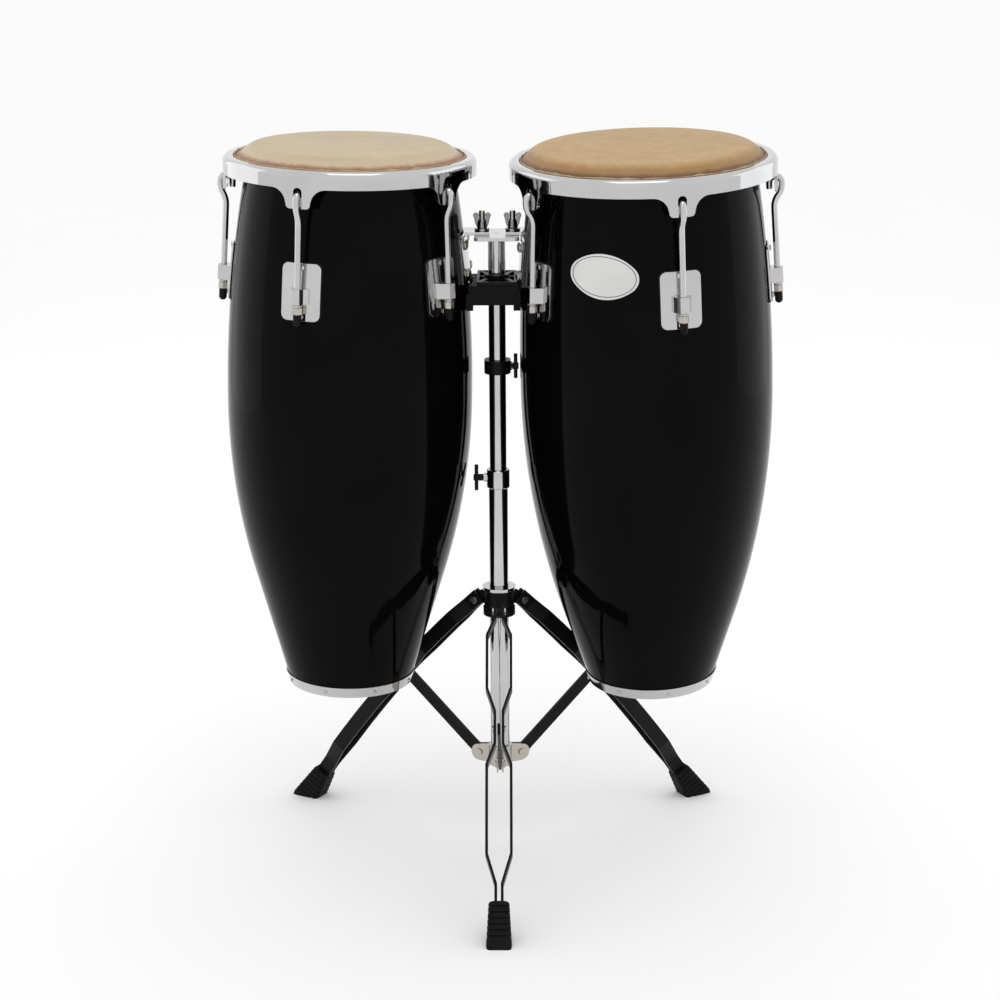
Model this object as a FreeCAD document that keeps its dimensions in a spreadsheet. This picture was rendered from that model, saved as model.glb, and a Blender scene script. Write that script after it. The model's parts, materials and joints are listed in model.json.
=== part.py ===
import FreeCAD, Part
import math
import os
import re
import Sketcher
from FreeCAD import Placement, Rotation, Vector

# A pair of conga drums hung on a double stand. +Z is up and -Y is the side the player stands on.
# Each drum is built in a frame of its own: origin at the centre of its open foot, +Z along its axis,
# and the piece being drawn on the -Y side. The stand is built in a frame at the foot of its pole.

DIMENSIONS = {
    # where the stand's pole and the two drums' feet are, and how the drums lean
    "pole_y": 78, "left_foot_x": -199, "left_foot_y": 0, "left_foot_z": 235,
    "right_foot_x": 201.5, "right_foot_y": 1, "right_foot_z": 234.5,
    "left_lean_in": 1.3, "left_lean_front": 0, "right_lean_in": -1.5, "right_lean_front": 2,
    "left_first_lug": -19.5, "right_first_lug": 13.3, "left_bracket_turn": 90,
    "right_bracket_turn": -94.7,
    # wooden shells
    "left_foot_radius": 80, "left_belly_radius": 157.5, "left_belly_up": 385,
    "left_low_bow": 829, "left_high_bow": 1693,
    "right_foot_radius": 81, "right_belly_radius": 161.5, "right_belly_up": 400,
    "right_low_bow": 977, "right_high_bow": 2064,
    "shell_height": 707.5, "shell_wall": 12, "edge_round": 10, "glue_angle": 0.06,
    # rims, heads and the rings inside the heads
    "left_rim_radius": 159.4, "right_rim_radius": 167.4, "rim_low": 676, "rim_top": 697.5, "rim_wall": 4,
    "rim_lip": 13.6, "lip_round": 7, "ear_drop": 24, "ear_half": 16, "ear_flare": 36, "flare_drop": 14,
    "keyhole_half": 5.5, "keyhole_drop": 13.5, "toe_half": 4.5, "ear_corner": 5.5, "ear_flare_round": 19,
    "crown": 711, "skin": 2.5, "skin_bend": 20, "crown_inset": 10.5, "hoop_inset": 14.5, "hoop_drop": 24,
    "hoop_wire": 4, "tuck": 6.5,
    # tuning hooks, measured from the hole in the side plate's nose
    "nose_up": 545, "left_nose_out": 2, "right_nose_out": -0.4, "hook_tilt": 2.9, "rod_radius": 4,
    "rim_gap": 0.8,
    "hook_bend": 8, "hook_up": 116, "hook_swing": 31, "hook_tip": 7, "rod_tail": 31, "rod_room": 0.25,
    "nose_half_long": 9.5, "nose_front": 6.8, "nose_front_half": 6.5, "nose_back_half": 13,
    "nose_hole": 4.5, "washer_drop": 9.9, "washer_thick": 3.6, "nut_drop": 13.6, "nut_thick": 7.8,
    "nut_corner": 6.5, "cap_drop": 22.2, "cap_long": 15, "cap_radius": 5,
    # side plates
    "plate_half_wide": 25.5, "plate_half_high": 35, "plate_round": 8, "gasket": 1, "plate": 2,
    "plate_centre_up": 549, "plate_bolt_up": 30, "bolt_radius": 2.8, "bolt_head": 4.2, "bolt_head_thick": 1.6,
    "bolt_seat": 0.6, "inner_nut": 6, "inner_nut_thick": 5, "inner_gap": 0.9,
    # chrome band round each foot
    "band_high": 14, "band_thick": 1.6, "band_screw": 1.6, "band_screw_head": 2.6, "band_screw_long": 9,
    "band_screw_proud": 1.2,
    # drum brackets
    "bracket_low": 543, "bracket_high": 601, "bracket_gap": 0.4, "bracket_thick": 3.5, "bracket_sweep": 38,
    "bracket_bolt_up": 18, "bracket_bolt_spread": 22, "bracket_bolt": 4, "bracket_bolt_head": 6.5,
    "bracket_bolt_head_thick": 3.5, "bracket_bolt_seat": 1, "bracket_nut": 7, "bracket_nut_thick": 6,
    "tab_half_wide": 19, "tab_thick": 4, "slot_half": 4.4, "slot_back": 1.2, "tab_past_stud": 9,
    "left_tab_front": -39.8, "left_tab_back": -39.8, "right_tab_front": 32, "right_tab_back": 36.6,
    # oval badge on the right drum
    "badge_corner_x": 37.6, "badge_corner_y": 13.8, "badge_end_round": 18, "badge_side_round": 58.3,
    "badge_thick": 1, "badge_up": 578, "badge_turn": -21.6, "badge_tilt": 5, "badge_room_x": 60,
    "badge_room_y": 38, "badge_sweep": 50,
    # pole
    "low_tube": 12.7, "low_tube_bore": 11.5, "low_tube_foot": 112, "low_tube_top": 514,
    "top_tube": 11.1, "top_tube_bore": 9.9, "top_tube_foot": 300, "bush_bore": 11.16, "bush_long": 34,
    "bush_flange": 13.9, "bush_flange_thick": 3,
    "collar_radius": 15.2, "collar_low": 497, "collar_high": 521.5, "collar_lip": 11.6,
    "collar_screw_up": 510,
    "lock_radius": 17, "lock_low": 650, "lock_high": 667.5, "lock_bore": 11.17,
    "boss_radius": 6, "collar_boss": 19, "lock_boss": 18.5, "screw": 3, "screw_room": 0.05,
    "screw_clear": 0.5,
    "screw_tip": 11.5, "screw_neck": 4.5, "collar_neck": 7, "lock_neck": 2.5, "screw_end": 1.5,
    "wing_half": 17, "wing_thick": 4.8, "wing_waist": 3.6, "wing_lobe": 6, "wing_turn": 12,
    # plate at the top of the pole and what clamps the drums to it
    "top_plate_z": 831, "top_plate_thick": 4.5, "top_plate_left": -28, "top_plate_right": 29,
    "top_plate_half_deep": 35, "top_plate_round": 6, "sight_half_wide": 3, "sight_half_deep": 1.5,
    "left_stud_x": -18.2, "right_stud_x": 20.5, "stud": 4, "stud_top": 860, "stud_head": 6.8,
    "stud_head_thick": 5, "clamp_gap": 0.3,
    "clamp_washer": 9.5, "clamp_washer_thick": 2, "wing_nut_hub": 6.2, "wing_nut_high": 10,
    "wing_nut_span": 10,
    "wing_nut_top": 20, "wing_nut_thick": 3.4, "nut_room": 0.05,
    # rubber bumper between the drums and the casting that carries it
    "bumper_low": 746.5, "bumper_high": 771, "bumper_half_deep": 42, "block_left": -36.1,
    "block_right_front": 27.2, "block_right_back": 36.1, "left_hollow": 152, "right_hollow": 161,
    "pad_low": 739.5, "pad_high": 759.5, "pad_left": -38.8, "pad_right_front": 30.2, "pad_right_back": 39.1,
    "pad_thick": 9, "bumper_bore": 11.4,
    "tray_high": 776, "tray_ring": 16, "tray_bore": 11.15, "tray_half_long": 25, "tray_half_deep": 40,
    "tray_wall": 3, "tray_rib": 3, "tray_collar_high": 779,
    # tripod: hub, legs, braces and the spider at the foot of the pole
    "hub_radius": 19.5, "hub_bore": 12.76, "hub_low": 333, "hub_high": 358, "flange_radius": 22,
    "flange_high": 362,
    "ring_low": 323, "ring_radius": 21, "fin_half": 2.8, "fin_round": 8, "fin_low": 334, "fin_high": 356,
    "leg_pivot_out": 35, "leg_pivot_up": 338, "pin": 3, "pin_room": 0.05, "pin_head": 5, "pin_head_thick": 2,
    "strip": 3.4, "strip_wide": 20, "leg_long": 418, "leg_sag": 11.5, "leg_slope": 50.1, "strip_start": -9,
    "strip_near": 4.8, "strip_far": 15.5, "strip_brace": 5.2, "strip_foot": 4,
    "first_spread": 38, "first_narrow": 112, "brace_in": 144, "brace_out": 187, "second_spread": 215,
    "second_narrow": 330, "foot_in": 368, "brace_along": 165.5, "brace_off": 9.8, "rivet": 3,
    "brace_thick": 4, "brace_half_wide": 8,
    "spider_pivot_out": 31, "spider_pivot_up": 121, "ear_plate": 2, "ear_gap": 2.6, "ear_end_round": 11.5,
    "spider_hub": 15.5, "spider_low": 106, "spider_high": 138, "ear_start": 15.9,
    "foot_back": 30, "foot_long": 64, "foot_lean": 57.5, "foot_top_half": 12, "foot_end_half": 20,
    "foot_top_side": 13, "foot_end_side": 16.5, "socket_half": 10.8, "socket_side": 6, "socket_deep": 34,
    "first_rib": 6, "rib_step": 7.5, "groove_long": 2.2, "groove_deep": 1.6,
}

LUGS = 5
STAVES = 15
BAND_SCREWS = 8
FOOT_RIBS = 6
SIDES = ("left", "right")
LEGS = {"front": 0, "right": 120, "left": -120}
UP = Vector(0, 0, 1)

DERIVED = {
    "left_bow_rise": "left_belly_radius - left_foot_radius - left_low_bow",
    "left_straight": "sqrt(left_belly_up ^ 2 + left_bow_rise ^ 2 - left_low_bow ^ 2)",
    "left_straight_angle": "atan2(left_belly_up; left_bow_rise) - atan2(left_low_bow; left_straight)",
    "left_join_up": "left_straight * sin(left_straight_angle)",
    "left_join_out": "left_foot_radius + left_straight * cos(left_straight_angle)",
    "right_bow_rise": "right_belly_radius - right_foot_radius - right_low_bow",
    "right_straight": "sqrt(right_belly_up ^ 2 + right_bow_rise ^ 2 - right_low_bow ^ 2)",
    "right_straight_angle": "atan2(right_belly_up; right_bow_rise) - atan2(right_low_bow; right_straight)",
    "right_join_up": "right_straight * sin(right_straight_angle)",
    "right_join_out": "right_foot_radius + right_straight * cos(right_straight_angle)",
    "left_reach": "(rim_gap + rod_radius - left_nose_out + hook_up * sin(hook_tilt)) / cos(hook_tilt)",
    "right_reach": "(rim_gap + rod_radius - right_nose_out + hook_up * sin(hook_tilt)) / cos(hook_tilt)",
    "left_swing_bend": "((hook_swing / 2) ^ 2 + (left_reach / 2) ^ 2) / left_reach",
    "right_swing_bend": "((hook_swing / 2) ^ 2 + (right_reach / 2) ^ 2) / right_reach",
    "left_swing_turn": "2 * atan(left_reach / hook_swing)",
    "right_swing_turn": "2 * atan(right_reach / hook_swing)",
    "brace_run": "leg_pivot_out + brace_along * cos(leg_slope) + brace_off * sin(leg_slope) - spider_pivot_out",
    "brace_rise": "leg_pivot_up - brace_along * sin(leg_slope) + brace_off * cos(leg_slope) - spider_pivot_up",
    "brace_long": "sqrt(brace_run ^ 2 + brace_rise ^ 2)",
    "brace_slope": "atan2(brace_rise; brace_run)",
    "leg_bow": "leg_long ^ 2 / (8 * leg_sag) + leg_sag / 2",
}
CELLS = set(DIMENSIONS) | set(DERIVED)

doc = FreeCAD.newDocument("conga_drums")
sheet = doc.addObject("Spreadsheet::Sheet", "dims")
nodes = []


def fill_sheet():
    """One row for each driving dimension and each size that follows from them: its name beside its value."""
    rows = list(DIMENSIONS.items()) + [(name, "=" + text) for name, text in DERIVED.items()]
    for row, (name, size) in enumerate(rows, start=1):
        sheet.set("A%d" % row, name)
        sheet.setAlias("B%d" % row, name)
        sheet.set("B%d" % row, str(size))
    doc.recompute()


def bound(text, side=""):
    """An expression on the sheet's cells; a name that starts with own_ is the given side's own cell."""
    text = re.sub(r"\bown_", side + "_", text)
    return re.sub(r"[a-z]\w*", lambda word: "dims." + word[0] if word[0] in CELLS else word[0], text)


def number(text, side=""):
    """What such an expression comes to."""
    return float(sheet.evalExpression(bound(text, side)))


def spot(x=0, y=0, z=0, axis=UP, angle=0):
    """A placement: a turn about an axis through the origin, then a move."""
    return Placement(Vector(x, y, z), Rotation(axis, angle))


def stand_frame(angle=0):
    """The stand's frame, turned so that -Y points along the leg at that angle."""
    return spot(0, number("pole_y"), 0) * spot(axis=UP, angle=angle)


def drum_frame(side, turn=0):
    """A drum's frame with its lean, turned about its own axis."""
    foot = spot(number("own_foot_x", side), number("pole_y + own_foot_y", side), number("own_foot_z", side))
    lean_in = spot(axis=Vector(0, 1, 0), angle=number("own_lean_in", side))
    lean_front = spot(axis=Vector(1, 0, 0), angle=number("own_lean_front", side))
    return foot * lean_in * lean_front * spot(axis=UP, angle=turn)


def lug_frame(side):
    return drum_frame(side, number("own_first_lug", side))


def new_body(label, placement):
    """A body for one sub-part, which becomes a node of its own."""
    body = doc.addObject("PartDesign::Body", label)
    body.Label = label
    body.Placement = placement
    nodes.append(body)
    return body


def datum(body, role):
    return next(item for item in body.Origin.OriginFeatures if item.Role == role)


def new_sketch(body, role, offset=None):
    sketch = body.newObject("Sketcher::SketchObject", body.Label + "_sketch")
    sketch.AttachmentSupport = [(datum(body, role), "")]
    sketch.MapMode = "FlatFace"
    if offset is not None:
        sketch.AttachmentOffset = offset
    return sketch


def bent_edge(start, stop, radius):
    """The short arc between two points that bends to the right of its chord."""
    chord = stop - start
    rise = radius - math.sqrt(max(radius ** 2 - (chord.Length / 2) ** 2, 0))
    right = Vector(chord.y, -chord.x, 0).normalize()
    return Part.Arc(start, (start + stop) * 0.5 + right * rise, stop)


def outline(sketch, corners, side="", closed=True):
    """Edges through corners (x, y), or (x, y, radius, turn) where an arc follows, all bound to the sheet.

    A turn of 1 bends the arc to the right of its chord and -1 to the left.
    """
    spots = [Vector(number(corner[0], side), number(corner[1], side), 0) for corner in corners]
    count = len(corners) if closed else len(corners) - 1
    edges = []
    for index in range(count):
        start = spots[index]
        stop = spots[(index + 1) % len(spots)]
        forward = len(corners[index]) == 2 or corners[index][3] > 0
        if len(corners[index]) == 2:
            shape = Part.LineSegment(start, stop)
        elif forward:
            shape = bent_edge(start, stop, number(corners[index][2], side))
        else:
            shape = bent_edge(stop, start, number(corners[index][2], side))
        edges.append((sketch.addGeometry(shape), 1 if forward else 2, 2 if forward else 1))
    for index in range(count if closed else count - 1):
        edge, _, end = edges[index]
        after, begin, _ = edges[(index + 1) % count]
        sketch.addConstraint(Sketcher.Constraint("Coincident", edge, end, after, begin))
    for index in range(len(corners)):
        edge, begin, end = edges[min(index, count - 1)]
        point = begin if index < count else end
        for kind, text, size in (("DistanceX", corners[index][0], spots[index].x),
                                 ("DistanceY", corners[index][1], spots[index].y)):
            place = sketch.addConstraint(Sketcher.Constraint(kind, -1, 1, edge, point, size))
            sketch.setExpression("Constraints[%d]" % place, bound(text, side))
        if len(corners[index]) > 2:
            radius = number(corners[index][2], side)
            place = sketch.addConstraint(Sketcher.Constraint("Radius", edge, radius))
            sketch.setExpression("Constraints[%d]" % place, bound(corners[index][2], side))
    return sketch


def ring(sketch, x, y, radius, side=""):
    """A circle whose centre and radius are bound to the sheet."""
    centre = Vector(number(x, side), number(y, side), 0)
    circle = sketch.addGeometry(Part.Circle(centre, UP, number(radius, side)))
    for kind, text, size in (("DistanceX", x, centre.x), ("DistanceY", y, centre.y)):
        place = sketch.addConstraint(Sketcher.Constraint(kind, -1, 1, circle, 3, size))
        sketch.setExpression("Constraints[%d]" % place, bound(text, side))
    place = sketch.addConstraint(Sketcher.Constraint("Radius", circle, number(radius, side)))
    sketch.setExpression("Constraints[%d]" % place, bound(radius, side))
    return sketch


def feature(body, kind, sketch):
    made = body.newObject("PartDesign::" + kind, body.Label + "_" + kind.lower())
    made.Profile = sketch
    sketch.Visibility = False
    return made


def pad(body, sketch, length, side="", midplane=False, reverse=False):
    made = feature(body, "Pad", sketch)
    made.setExpression("Length", bound(length, side))
    made.Midplane = midplane
    made.Reversed = reverse
    body.Tip = made
    return made


def pocket(body, sketch, length, side="", midplane=False, reverse=False):
    made = feature(body, "Pocket", sketch)
    made.setExpression("Length", bound(length, side))
    made.Midplane = midplane
    made.Reversed = reverse
    body.Tip = made
    return made


def turned(body, sketch, axis="V_Axis", kind="Revolution", angle="360", midplane=False, side=""):
    made = feature(body, kind, sketch)
    made.ReferenceAxis = (sketch, [axis])
    made.setExpression("Angle", bound(angle, side))
    made.Midplane = midplane
    body.Tip = made
    return made


def repeat(body, features, count=LUGS, angle="360"):
    """The same features again, evenly round the body's own Z axis."""
    made = body.newObject("PartDesign::PolarPattern", body.Label + "_round")
    made.Originals = features
    made.Axis = (datum(body, "Z_Axis"), [""])
    made.setExpression("Angle", bound(angle))
    made.Occurrences = count
    body.Tip = made
    return made


def box_corners(x_low, x_high, y_low, y_high):
    return [(x_low, y_low), (x_high, y_low), (x_high, y_high), (x_low, y_high)]


# Drums ------------------------------------------------------------------------------------------------

def shell_radius(height):
    """The shell's outer radius at a height above the belly, as an expression."""
    return "(own_belly_radius - own_high_bow + sqrt(own_high_bow ^ 2 - (%s - own_belly_up) ^ 2))" % height


def shell_face(inset):
    """Corners up one face of the shell: straight foot, bow to the belly, bow to the top edge."""
    return [
        ("own_foot_radius - " + inset, "0"),
        ("own_join_out - " + inset, "own_join_up", "own_low_bow", 1),
        ("own_belly_radius - " + inset, "own_belly_up", "own_high_bow", 1),
    ]


def make_shell(side):
    """Shell of glued staves, open at the foot, drilled for the side plates, the bracket and the foot band."""
    body = new_body(side + "_shell", lug_frame(side))
    face = new_sketch(body, "XZ_Plane", spot(axis=Vector(0, 1, 0), angle=-90))
    shoulder = shell_radius("(shell_height - edge_round)")
    top_edge = [
        (shoulder, "shell_height - edge_round", "edge_round", 1),
        (shoulder + " - edge_round", "shell_height"),
        (shell_radius("shell_height") + " - shell_wall", "shell_height", "own_high_bow", -1),
    ]
    foot, join, belly = shell_face("shell_wall")
    outline(face, shell_face("0") + top_edge + [belly[:2] + ("own_low_bow", -1), join[:2], foot], side)
    stave = turned(body, face, angle="360 / %d - glue_angle" % STAVES, midplane=True)
    repeat(body, [stave], STAVES)
    drill_lug_holes(body, side)
    bracket_turn = number("own_bracket_turn - own_first_lug", side)
    for swing in (-0.5, 0.5):
        turn = bracket_turn + swing * number("bracket_bolt_spread")
        holes = new_sketch(body, "XZ_Plane", spot(axis=Vector(0, 1, 0), angle=turn))
        for way in ("+", "-"):
            height = "(bracket_low + bracket_high) / 2 %s bracket_bolt_up" % way
            ring(holes, "0", height, "bracket_bolt", side)
        pocket(body, holes, "own_belly_radius + 10", side, reverse=True)
    screws = new_sketch(body, "XZ_Plane")
    ring(screws, "0", "band_high / 2", "band_screw", side)
    repeat(body, [pocket(body, screws, "own_foot_radius + 20", side, reverse=True)], BAND_SCREWS)


def drill_lug_holes(body, side):
    holes = new_sketch(body, "XZ_Plane")
    for way in ("+", "-"):
        ring(holes, "0", "plate_centre_up %s plate_bolt_up" % way, "bolt_radius", side)
    repeat(body, [pocket(body, holes, "own_belly_radius + 20", side, reverse=True)])


def make_head(side):
    """Rawhide: flat crown, rounded shoulder, collar, and the roll that is tucked round the inner hoop."""
    body = new_body(side + "_head", drum_frame(side))
    sheet_face = new_sketch(body, "XZ_Plane")
    flat = shell_radius("shell_height") + " - crown_inset"
    shoulder_out = flat + " + skin_bend * sin(45)"
    shoulder_up = "crown - skin_bend * (1 - cos(45))"
    inner_bend = "(skin_bend - skin)"
    outline(sheet_face, [
        ("0", "crown - skin"), ("0", "crown"), (flat, "crown", "skin_bend", -1),
        (shoulder_out, shoulder_up),
        ("own_rim_radius - hoop_inset - tuck * cos(30)", "crown - hoop_drop + tuck * sin(30)"),
        ("own_rim_radius - hoop_inset - tuck * cos(5) ", "crown - hoop_drop + tuck * sin(5)"),
        (flat + " + %s * sin(45)" % inner_bend, "crown - skin - %s * (1 - cos(45))" % inner_bend,
         inner_bend, 1),
        (flat, "crown - skin"),
    ], side)
    turned(body, sheet_face)
    roll = new_sketch(body, "XZ_Plane")
    ring(roll, "own_rim_radius - hoop_inset", "crown - hoop_drop", "tuck", side)
    turned(body, roll)
    hollow = new_sketch(body, "XZ_Plane")
    ring(hollow, "own_rim_radius - hoop_inset", "crown - hoop_drop", "hoop_wire", side)
    turned(body, hollow, kind="Groove")


def make_flesh_hoop(side):
    """Steel ring that the rawhide is tucked round."""
    body = new_body(side + "_flesh_hoop", drum_frame(side))
    wire = new_sketch(body, "XZ_Plane")
    ring(wire, "own_rim_radius - hoop_inset", "crown - hoop_drop", "hoop_wire", side)
    turned(body, wire)


def make_rim(side):
    """Rounded rim with a deep skirt, cut away to leave five ears with keyholes for the hooks."""
    body = new_body(side + "_rim", lug_frame(side))
    section = new_sketch(body, "XZ_Plane")
    wall_in = "own_rim_radius - rim_wall"
    lip_in = "own_rim_radius - rim_lip"
    outline(section, [
        (wall_in, "rim_low - ear_drop"), ("own_rim_radius", "rim_low - ear_drop"),
        ("own_rim_radius", "rim_top - lip_round", "lip_round", 1),
        ("own_rim_radius - lip_round", "rim_top"), (lip_in + " + 2", "rim_top", "2", 1),
        (lip_in, "rim_top - 2"), (lip_in, "rim_top - 3.4"),
        (wall_in + " - 3", "rim_top - 3.8", "3", -1), (wall_in, "rim_top - 6.8"),
    ], side)
    turned(body, section)
    cut = new_sketch(body, "XZ_Plane")
    below = "rim_low - ear_drop - 1"
    past = "own_rim_radius * sin(38)"
    for way, bend in (("", -1), ("-", 1)):
        outline(cut, [
            (way + "(ear_half - 5)", below),
            (way + "(ear_half - 5)", "rim_low - ear_drop", "ear_corner", -bend),
            (way + "(ear_half)", "rim_low - ear_drop + 6"),
            (way + "(ear_half + 1)", "rim_low - flare_drop", "ear_flare_round", bend),
            (way + "(ear_flare)", "rim_low"),
            (way + past, "rim_low"), (way + past, below),
        ], side)
    outline(cut, [
        ("-toe_half", below), ("toe_half", below),
        ("toe_half", "rim_low - ear_drop + 2", "toe_half * 1.02", 1), ("-toe_half", "rim_low - ear_drop + 2"),
    ], side)
    outline(cut, [
        ("-keyhole_half", "rim_low - keyhole_drop + 3"), ("-keyhole_half + 3", "rim_low - keyhole_drop"),
        ("keyhole_half - 3", "rim_low - keyhole_drop"), ("keyhole_half", "rim_low - keyhole_drop + 3"),
        ("keyhole_half", "rim_low - 3", "keyhole_half * 1.02", 1), ("-keyhole_half", "rim_low - 3"),
    ], side)
    repeat(body, [pocket(body, cut, "own_rim_radius + 5", side, reverse=True)])


def hook_offset(side):
    """The tilted frame of a hook on the YZ plane: origin at the nose hole, V up the straight rod."""
    out = number("own_rim_radius + own_nose_out", side)
    return spot(-out, number("nose_up"), 0, UP, -number("hook_tilt"))


def hook_face_offset(side, up):
    """The same frame seen from above, for what is drawn across the rod."""
    tilt = number("hook_tilt")
    out = number("own_rim_radius + own_nose_out", side)
    base = spot(0, -out, number("nose_up"), Vector(1, 0, 0), -tilt)
    return base * spot(0, 0, up)


def rod_section(body, side, up, centre, out):
    """The rod's round section across the hook at a height, its sketch's origin on a bend's centre."""
    disc = new_sketch(body, "XY_Plane", hook_face_offset(side, number(up, side)) * spot(0, number(centre, side), 0))
    return ring(disc, "0", out, "rod_radius", side)


def make_hooks(side):
    """Five bent rods: tip behind the ear, bend over its web, swing inward, straight tail."""
    body = new_body(side + "_hooks", lug_frame(side))
    over = turned(body, rod_section(body, side, "hook_up", "hook_bend - own_reach", "hook_bend"),
                  axis="H_Axis", angle="180")
    inward = turned(body, rod_section(body, side, "hook_up", "own_swing_bend - own_reach", "-own_swing_bend"),
                    axis="H_Axis", angle="own_swing_turn", side=side)
    back = turned(body, rod_section(body, side, "hook_up - hook_swing", "-own_swing_bend", "own_swing_bend"),
                  axis="H_Axis", angle="own_swing_turn", side=side)
    tail = pad(body, rod_section(body, side, "hook_up - hook_swing", "0", "0"),
               "hook_up - hook_swing + rod_tail", side, reverse=True)
    tip = pad(body, rod_section(body, side, "hook_up", "hook_bend - own_reach", "hook_bend"),
              "hook_tip", side, reverse=True)
    repeat(body, [over, inward, back, tail, tip])


def make_tuning_nuts(side):
    """Under each nose a coned washer and a hexagonal nut, two solids at each lug."""
    body = new_body(side + "_tuning_nuts", lug_frame(side))
    washer = new_sketch(body, "YZ_Plane", hook_offset(side))
    outline(washer, [
        ("rod_radius + rod_room", "-washer_drop"), ("nut_corner - 0.6", "-washer_drop"),
        ("nut_corner", "-washer_drop - 1.2"), ("nut_corner - 1.2", "-washer_drop - washer_thick"),
        ("rod_radius + rod_room", "-washer_drop - washer_thick"),
    ], side)
    washers = turned(body, washer)
    doc.recompute()
    hexagon = new_sketch(body, "XY_Plane", hook_face_offset(side, -number("nut_drop")))
    corners = [("nut_corner * cos(%d)" % turn, "nut_corner * sin(%d)" % turn) for turn in range(0, 360, 60)]
    outline(hexagon, corners, side)
    ring(hexagon, "0", "0", "rod_radius + rod_room")
    nuts = pad(body, hexagon, "nut_thick", side, reverse=True)
    repeat(body, [washers, nuts])


def make_rod_caps(side):
    """Rubber cap over the end of each rod, rounded at its tip."""
    body = new_body(side + "_rod_caps", lug_frame(side))
    face = new_sketch(body, "YZ_Plane", hook_offset(side))
    outline(face, [
        ("rod_radius + rod_room", "-cap_drop"), ("cap_radius", "-cap_drop"),
        ("cap_radius", "-cap_drop - cap_long + cap_radius", "cap_radius", -1),
        ("0", "-cap_drop - cap_long"), ("0", "-rod_tail - rim_gap"),
        ("rod_radius + rod_room", "-rod_tail - rim_gap"),
    ], side)
    repeat(body, [turned(body, face)])


def skin_ring(body, side, low, high, inner, outer, offset=None):
    """A ring that follows the upper bow of the shell between two heights and two offsets from it."""
    face = new_sketch(body, "XZ_Plane", offset)
    outline(face, [
        (shell_radius(low) + " + " + outer, low, "own_high_bow", 1),
        (shell_radius(high) + " + " + outer, high),
        (shell_radius(high) + " + " + inner, high, "own_high_bow", -1),
        (shell_radius(low) + " + " + inner, low),
    ], side)
    return face


def rounded_windows(body, side, half_wide, low, high, corner):
    """Everything beside a rounded rectangle, out to a little past halfway to the next lug."""
    cut = new_sketch(body, "XZ_Plane")
    past = "own_belly_radius * sin(38)"
    for way, bend in (("", -1), ("-", 1)):
        outline(cut, [
            (way + past, low + " - 2"), (way + "(%s - %s)" % (half_wide, corner), low + " - 2"),
            (way + "(%s - %s)" % (half_wide, corner), low, corner, -bend),
            (way + half_wide, "%s + %s" % (low, corner)),
            (way + half_wide, "%s - %s" % (high, corner), corner, -bend),
            (way + "(%s - %s)" % (half_wide, corner), high),
            (way + "(%s - %s)" % (half_wide, corner), high + " + 2"), (way + past, high + " + 2"),
        ], side)
    return pocket(body, cut, "own_belly_radius + 20", side, reverse=True)


def make_side_plates(side):
    """Five curved plates, each with a faceted nose that holds the tail of a hook."""
    body = new_body(side + "_side_plates", lug_frame(side))
    low = "(plate_centre_up - plate_half_high)"
    high = "(plate_centre_up + plate_half_high)"
    turned(body, skin_ring(body, side, low, high, "gasket", "gasket + plate"))
    windows = rounded_windows(body, side, "plate_half_wide", low, high, "plate_round")
    doc.recompute()
    nose = new_sketch(body, "XY_Plane", hook_face_offset(side, 0))
    back = "own_rim_radius + own_nose_out - %s - gasket - plate + 1.3" % shell_radius("nose_up")
    outline(nose, [
        ("-nose_back_half", back), ("-nose_front_half - 1.5", "-nose_front + 6"),
        ("-nose_front_half + 1", "-nose_front"),
        ("nose_front_half - 1", "-nose_front"), ("nose_front_half + 1.5", "-nose_front + 6"),
        ("nose_back_half", back),
    ], side)
    block = pad(body, nose, "2 * nose_half_long", side, midplane=True)
    doc.recompute()
    hole = new_sketch(body, "XY_Plane", hook_face_offset(side, 0))
    ring(hole, "0", "0", "nose_hole")
    bore = pocket(body, hole, "4 * nose_half_long", side, midplane=True)
    repeat(body, [windows, block, bore])
    drill_lug_holes(body, side)


def make_gaskets(side):
    """Black gasket between each side plate and the lacquer."""
    body = new_body(side + "_plate_gaskets", lug_frame(side))
    low = "(plate_centre_up - plate_half_high - 1.2)"
    high = "(plate_centre_up + plate_half_high + 1.2)"
    turned(body, skin_ring(body, side, low, high, "0", "gasket"))
    repeat(body, [rounded_windows(body, side, "(plate_half_wide + 1.2)", low, high, "plate_round")])
    drill_lug_holes(body, side)


def bolt_face(body, side, up, shank, head, head_thick, under_head, inside, nut, nut_thick):
    """Half section of a bolt through the shell: dome head, shank, and a nut inside."""
    face = new_sketch(body, "YZ_Plane", spot(0, number(up, side), 0))
    seat = "-(%s + %s)" % (shell_radius(up), under_head)
    wall = "-(%s - shell_wall - %s)" % (shell_radius(up), inside)
    outline(face, [
        (wall + " + %s + 2" % nut_thick, "0"), (seat + " - " + head_thick, "0"),
        (seat + " - " + head_thick, head + " / 2"), (seat + " - %s / 2" % head_thick, head), (seat, head),
        (seat, shank), (wall, shank), (wall, nut), (wall + " + " + nut_thick, nut),
        (wall + " + " + nut_thick, shank), (wall + " + %s + 2" % nut_thick, shank),
    ], side)
    return turned(body, face, axis="H_Axis")


def make_plate_bolts(side):
    """Two bolts through each side plate, above and below its nose."""
    body = new_body(side + "_plate_bolts", lug_frame(side))
    bolts = []
    for way in ("+", "-"):
        up = "(plate_centre_up %s plate_bolt_up)" % way
        bolts.append(bolt_face(body, side, up, "bolt_radius", "bolt_head", "bolt_head_thick",
                               "gasket + plate + bolt_seat", "inner_gap", "inner_nut", "inner_nut_thick"))
    repeat(body, bolts)


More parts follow.
